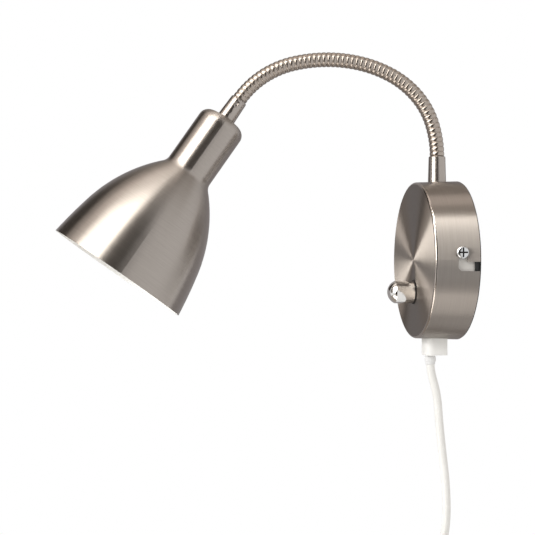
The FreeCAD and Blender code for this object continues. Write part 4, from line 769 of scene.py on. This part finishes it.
bpy.ops.mesh.primitive_cylinder_add(
    vertices=ROUND_SIDES,
    radius=CORD_WIDTH / 2 + SLEEVE_FIT,
    depth=BORE_LENGTH,
    location=(0, cord_points[0].y, (CORD_SLEEVE_TOP + CORD_SLEEVE_END) / 2),
)
cut_away(cord_sleeve, bpy.context.object)
choose_only(cord_sleeve)
bpy.ops.object.shade_smooth_by_angle(angle=RING_CREASE)
# Soft PVC, a shade duller than the cord.
soft_pvc = uneven("soft_white_pvc", ("#e6e5e1", "#efeeea"), 5 * MM, (0.45, 0.55), 0.4 * MM, 0.02 * MM)
cord_sleeve.data.materials.append(soft_pvc)
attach(cord_sleeve, "base")
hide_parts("cord_sleeve")


# ---------------------------------------------------------------- plug pins
# Turned brass pins, nickel plated, with a black insulating sleeve moulded round their roots.
# The pins go on into the plug's moulded body, which holds them.

# Nickel over turned brass: a bright, slightly yellow metal.
pin_metal = uneven(
    "nickel_plated_brass", ("#c6c1b6", "#dad6cc"), 4 * MM, (0.16, 0.26), 0.4 * MM, 0.004 * MM, Metallic=1.0
)
dress(pin_metal, "plug_pins", "lampholder_shell", "bulb_cap", "bulb_tip")
# Moulded round the pin: a plain, half-dull black.
pin_sleeve = uneven("black_pin_sleeve", ("#121212", "#1d1d1d"), 6 * MM, (0.42, 0.55), 0.3 * MM, 0.01 * MM)
dress(pin_sleeve, "plug_pin_sleeves")


# ---------------------------------------------------------------- lampholder and bulb
# A lampholder pressed from thermoset and screwed on the sleeve's thread inside the shade, with a
# threaded shell and a brass contact. The bulb is a small opal globe on a screw cap.

# Pressed thermoset: a warm white, slightly clouded.
thermoset = uneven(
    "white_thermoset", ("#e5e2db", "#efece5"), 5 * MM, (0.34, 0.46), 0.3 * MM, 0.008 * MM, IOR=1.6
)
dress(thermoset, "lampholder_cap", "lampholder_body")
# Opal glass: smooth and milky, with the slight waves of blown glass.
opal = uneven("opal_glass", ("#f1f0ed", "#f9f8f5"), 10 * MM, (0.22, 0.32), 3 * MM, 0.02 * MM, IOR=1.5)
dress(opal, "bulb_globe")
# Plain brass: yellow, and a little tarnished in patches.
brass = uneven(
    "plain_brass", ("#bd9750", "#d3ae68"), 3 * MM, (0.24, 0.38), 0.4 * MM, 0.004 * MM, Metallic=1.0
)
dress(brass, "terminal_tubes", "lampholder_contact")


# ---------------------------------------------------------------- wires and board
# PVC-covered wires run through the drum and the hose, and the dimmer's board is glass fibre
# under green lacquer. All have a soft shine, and the board is finely mottled.

lead_nodes = ["base_leads", "head_leads"] + [
    "neck_lead_%d" % (number + 1) for number in range(len(NECK_TURNS))
]
for name, tones, patch, nodes in (
    ("brown_core", ("#523420", "#644029"), 2 * MM, ["core_brown", "link_wire"]),
    ("blue_core", ("#27489a", "#3156a8"), 2 * MM, ["core_blue"]),
    ("white_lead", ("#e1dfda", "#eceae5"), 2 * MM, lead_nodes),
    ("lacquered_board", ("#265838", "#2f6644"), 0.9 * MM, ["dimmer_board"]),
):
    dress(uneven(name, tones, patch, (0.38, 0.5), 0.5 * MM, 0.01 * MM), *nodes)


# ---------------------------------------------------------------- floor, lights and flags
# A pale painted floor, one softbox, and cards round the lamp that only its reflections see:
# white ones for the metal's bright stripes, dark and grey ones for the tones beside them. They
# are placed for the photograph's view.

FLOOR_DROP = -0.6
FLOOR_SIZE = 3.6
bpy.ops.object.select_all(action="DESELECT")
bpy.ops.mesh.primitive_plane_add(size=FLOOR_SIZE, location=(0, 0, FLOOR_DROP))
floor = bpy.context.object
floor.name = "floor"
# Rolled paint: nearly flat, with a light stipple.
floor_paint = uneven("pale_floor", ("#f0efed", "#f5f4f2"), 200 * MM, (0.75, 0.85), 2 * MM, 0.1 * MM)
floor.data.materials.append(floor_paint)
floor.visible_glossy = False     # it would stand before the low cards in reflections


SUBJECT = Vector((0, -0.1, 0.03))    # about the lamp's middle, without its cord
KEY_POWER = 14                       # watts
ROOM_LIGHT = 0.72                    # the even light from all round


def softbox(name, toward, distance, width, height, power):
    """An area lamp in a direction from the lamp's middle, facing it. The metal shows the
    reflector cards instead of it."""
    data = bpy.data.lights.new(name, "AREA")
    data.shape = "RECTANGLE"
    data.size = width
    data.size_y = height
    data.energy = power
    lamp = bpy.data.objects.new(name, data)
    bpy.context.scene.collection.objects.link(lamp)
    way = Vector(toward).normalized()
    lamp.location = SUBJECT + way * distance
    lamp.rotation_mode = "QUATERNION"
    lamp.rotation_quaternion = way.to_track_quat("Z", "Y")
    lamp.visible_camera = False
    lamp.visible_glossy = False


def card(name, distance, code, strength, *corners):
    """A reflector card or flag that only reflections see: it gives the metal its bands. Its
    corners are directions from the lamp's middle, in order round it."""
    ways = [Vector(corner).normalized() for corner in corners]
    middle = sum(ways, Vector()).normalized()
    bpy.ops.object.select_all(action="DESELECT")
    bpy.ops.mesh.primitive_plane_add(size=1)
    made = bpy.context.object
    made.name = name
    order = [made.data.polygons[0].vertices[i] for i in range(4)]
    for vertex, way in zip(order, ways):
        made.data.vertices[vertex].co = SUBJECT + way * (distance / way.dot(middle))
    for ray in ("camera", "diffuse", "transmission", "volume_scatter", "shadow"):
        setattr(made, "visible_" + ray, False)
    material, tree = start_material(name + "_cloth")[:2]
    glow = add(tree, "ShaderNodeEmission", {"Color": linear(code), "Strength": strength})
    tree.links.new(glow.outputs[0], tree.nodes["Material Output"].inputs["Surface"])
    made.data.materials.append(material)


softbox(
    "key_softbox", toward=(0.3, -0.85, 0.4), distance=1.3, width=0.95, height=0.5, power=KEY_POWER
)
# the white stripe down the shade, its neck and the sleeves
card(
    "key_card", 1.5, "#fffdf8", 6.0, (0.1, -1.1, 0.8), (1, 0.25, 1.8), (1, -1.15, -0.05), (0.2, -1.3, -0.1)
)
# the dark band beside that stripe, and the middle of the drum's side
card(
    "camera_flag", 1.4, "#2a231d", 1.0, (1, -0.1, 1.35), (1, 0.35, 0.9), (1, -0.3, -1.1), (1, -1.3, -0.35)
)
# the band near the top of the drum's side, the greys above and below it, and the greys left of
# the shade's stripe
card("top_card", 1.4, "#fff4ec", 1.3, (0.1, -1.2, 1), (-0.3, -1.2, 1), (-0.3, 0.5, 1), (0.1, 0.5, 1))
card("top_flag", 1.6, "#bcb4ac", 1.0, (0.5, -2.0, 1), (-1.2, -2.0, 1), (-1.2, 1.5, 1), (0.5, 1.5, 1))
# the dark band at the shade's left edge
card(
    "room_flag", 1.4, "#3a3530", 1.0, (-1, -2.2, 1.6), (-1, -0.5, 1.6), (-1, -0.5, 0.2), (-1, -2.2, 0.2)
)
# the upright wedges on the drum's face, and the thin edges of the shade and the drum
card(
    "far_flag", 1.8, "#aaa6a6", 1.0, (-1, -2.5, 2.5), (-1, 2.0, 2.5), (-1, 2.0, -2.0), (-1, -2.5, -2.0)
)
# the lower part of the drum's side
card(
    "low_card", 1.4, "#fffaf4", 3.0, (0.85, -1.6, -1), (0.85, -0.2, -1), (0.05, -0.2, -1), (0.05, -1.6, -1)
)
card("low_flag", 1.6, "#a8a098", 1.0, (2, -2.0, -1), (2, 0.1, -1), (-1, 0.1, -1), (-1, -2.0, -1))

world = bpy.data.worlds.new("studio")
bpy.context.scene.world = world
world.use_nodes = True
tree = world.node_tree
tree.nodes.clear()
rays = add(tree, "ShaderNodeLightPath")
camera_or_gloss = add(
    tree,
    "ShaderNodeMath",
    {"operation": "MAXIMUM"},
    {0: rays.outputs["Is Camera Ray"], 1: rays.outputs["Is Glossy Ray"]},
)
shows_white = add(
    tree,
    "ShaderNodeMath",
    {"operation": "MAXIMUM"},
    {0: camera_or_gloss.outputs[0], 1: rays.outputs["Is Transmission Ray"]},
)
room = add(tree, "ShaderNodeBackground", {"Color": linear("#fffdfa"), "Strength": ROOM_LIGHT})
white = add(tree, "ShaderNodeBackground", {"Color": (1, 1, 1, 1), "Strength": 1.0})
seen = add(
    tree, "ShaderNodeMixShader", (), {0: shows_white.outputs[0], 1: room.outputs[0], 2: white.outputs[0]}
)
add(tree, "ShaderNodeOutputWorld", (), {"Surface": seen.outputs[0]})

bpy.context.scene.view_settings.view_transform = "Standard"
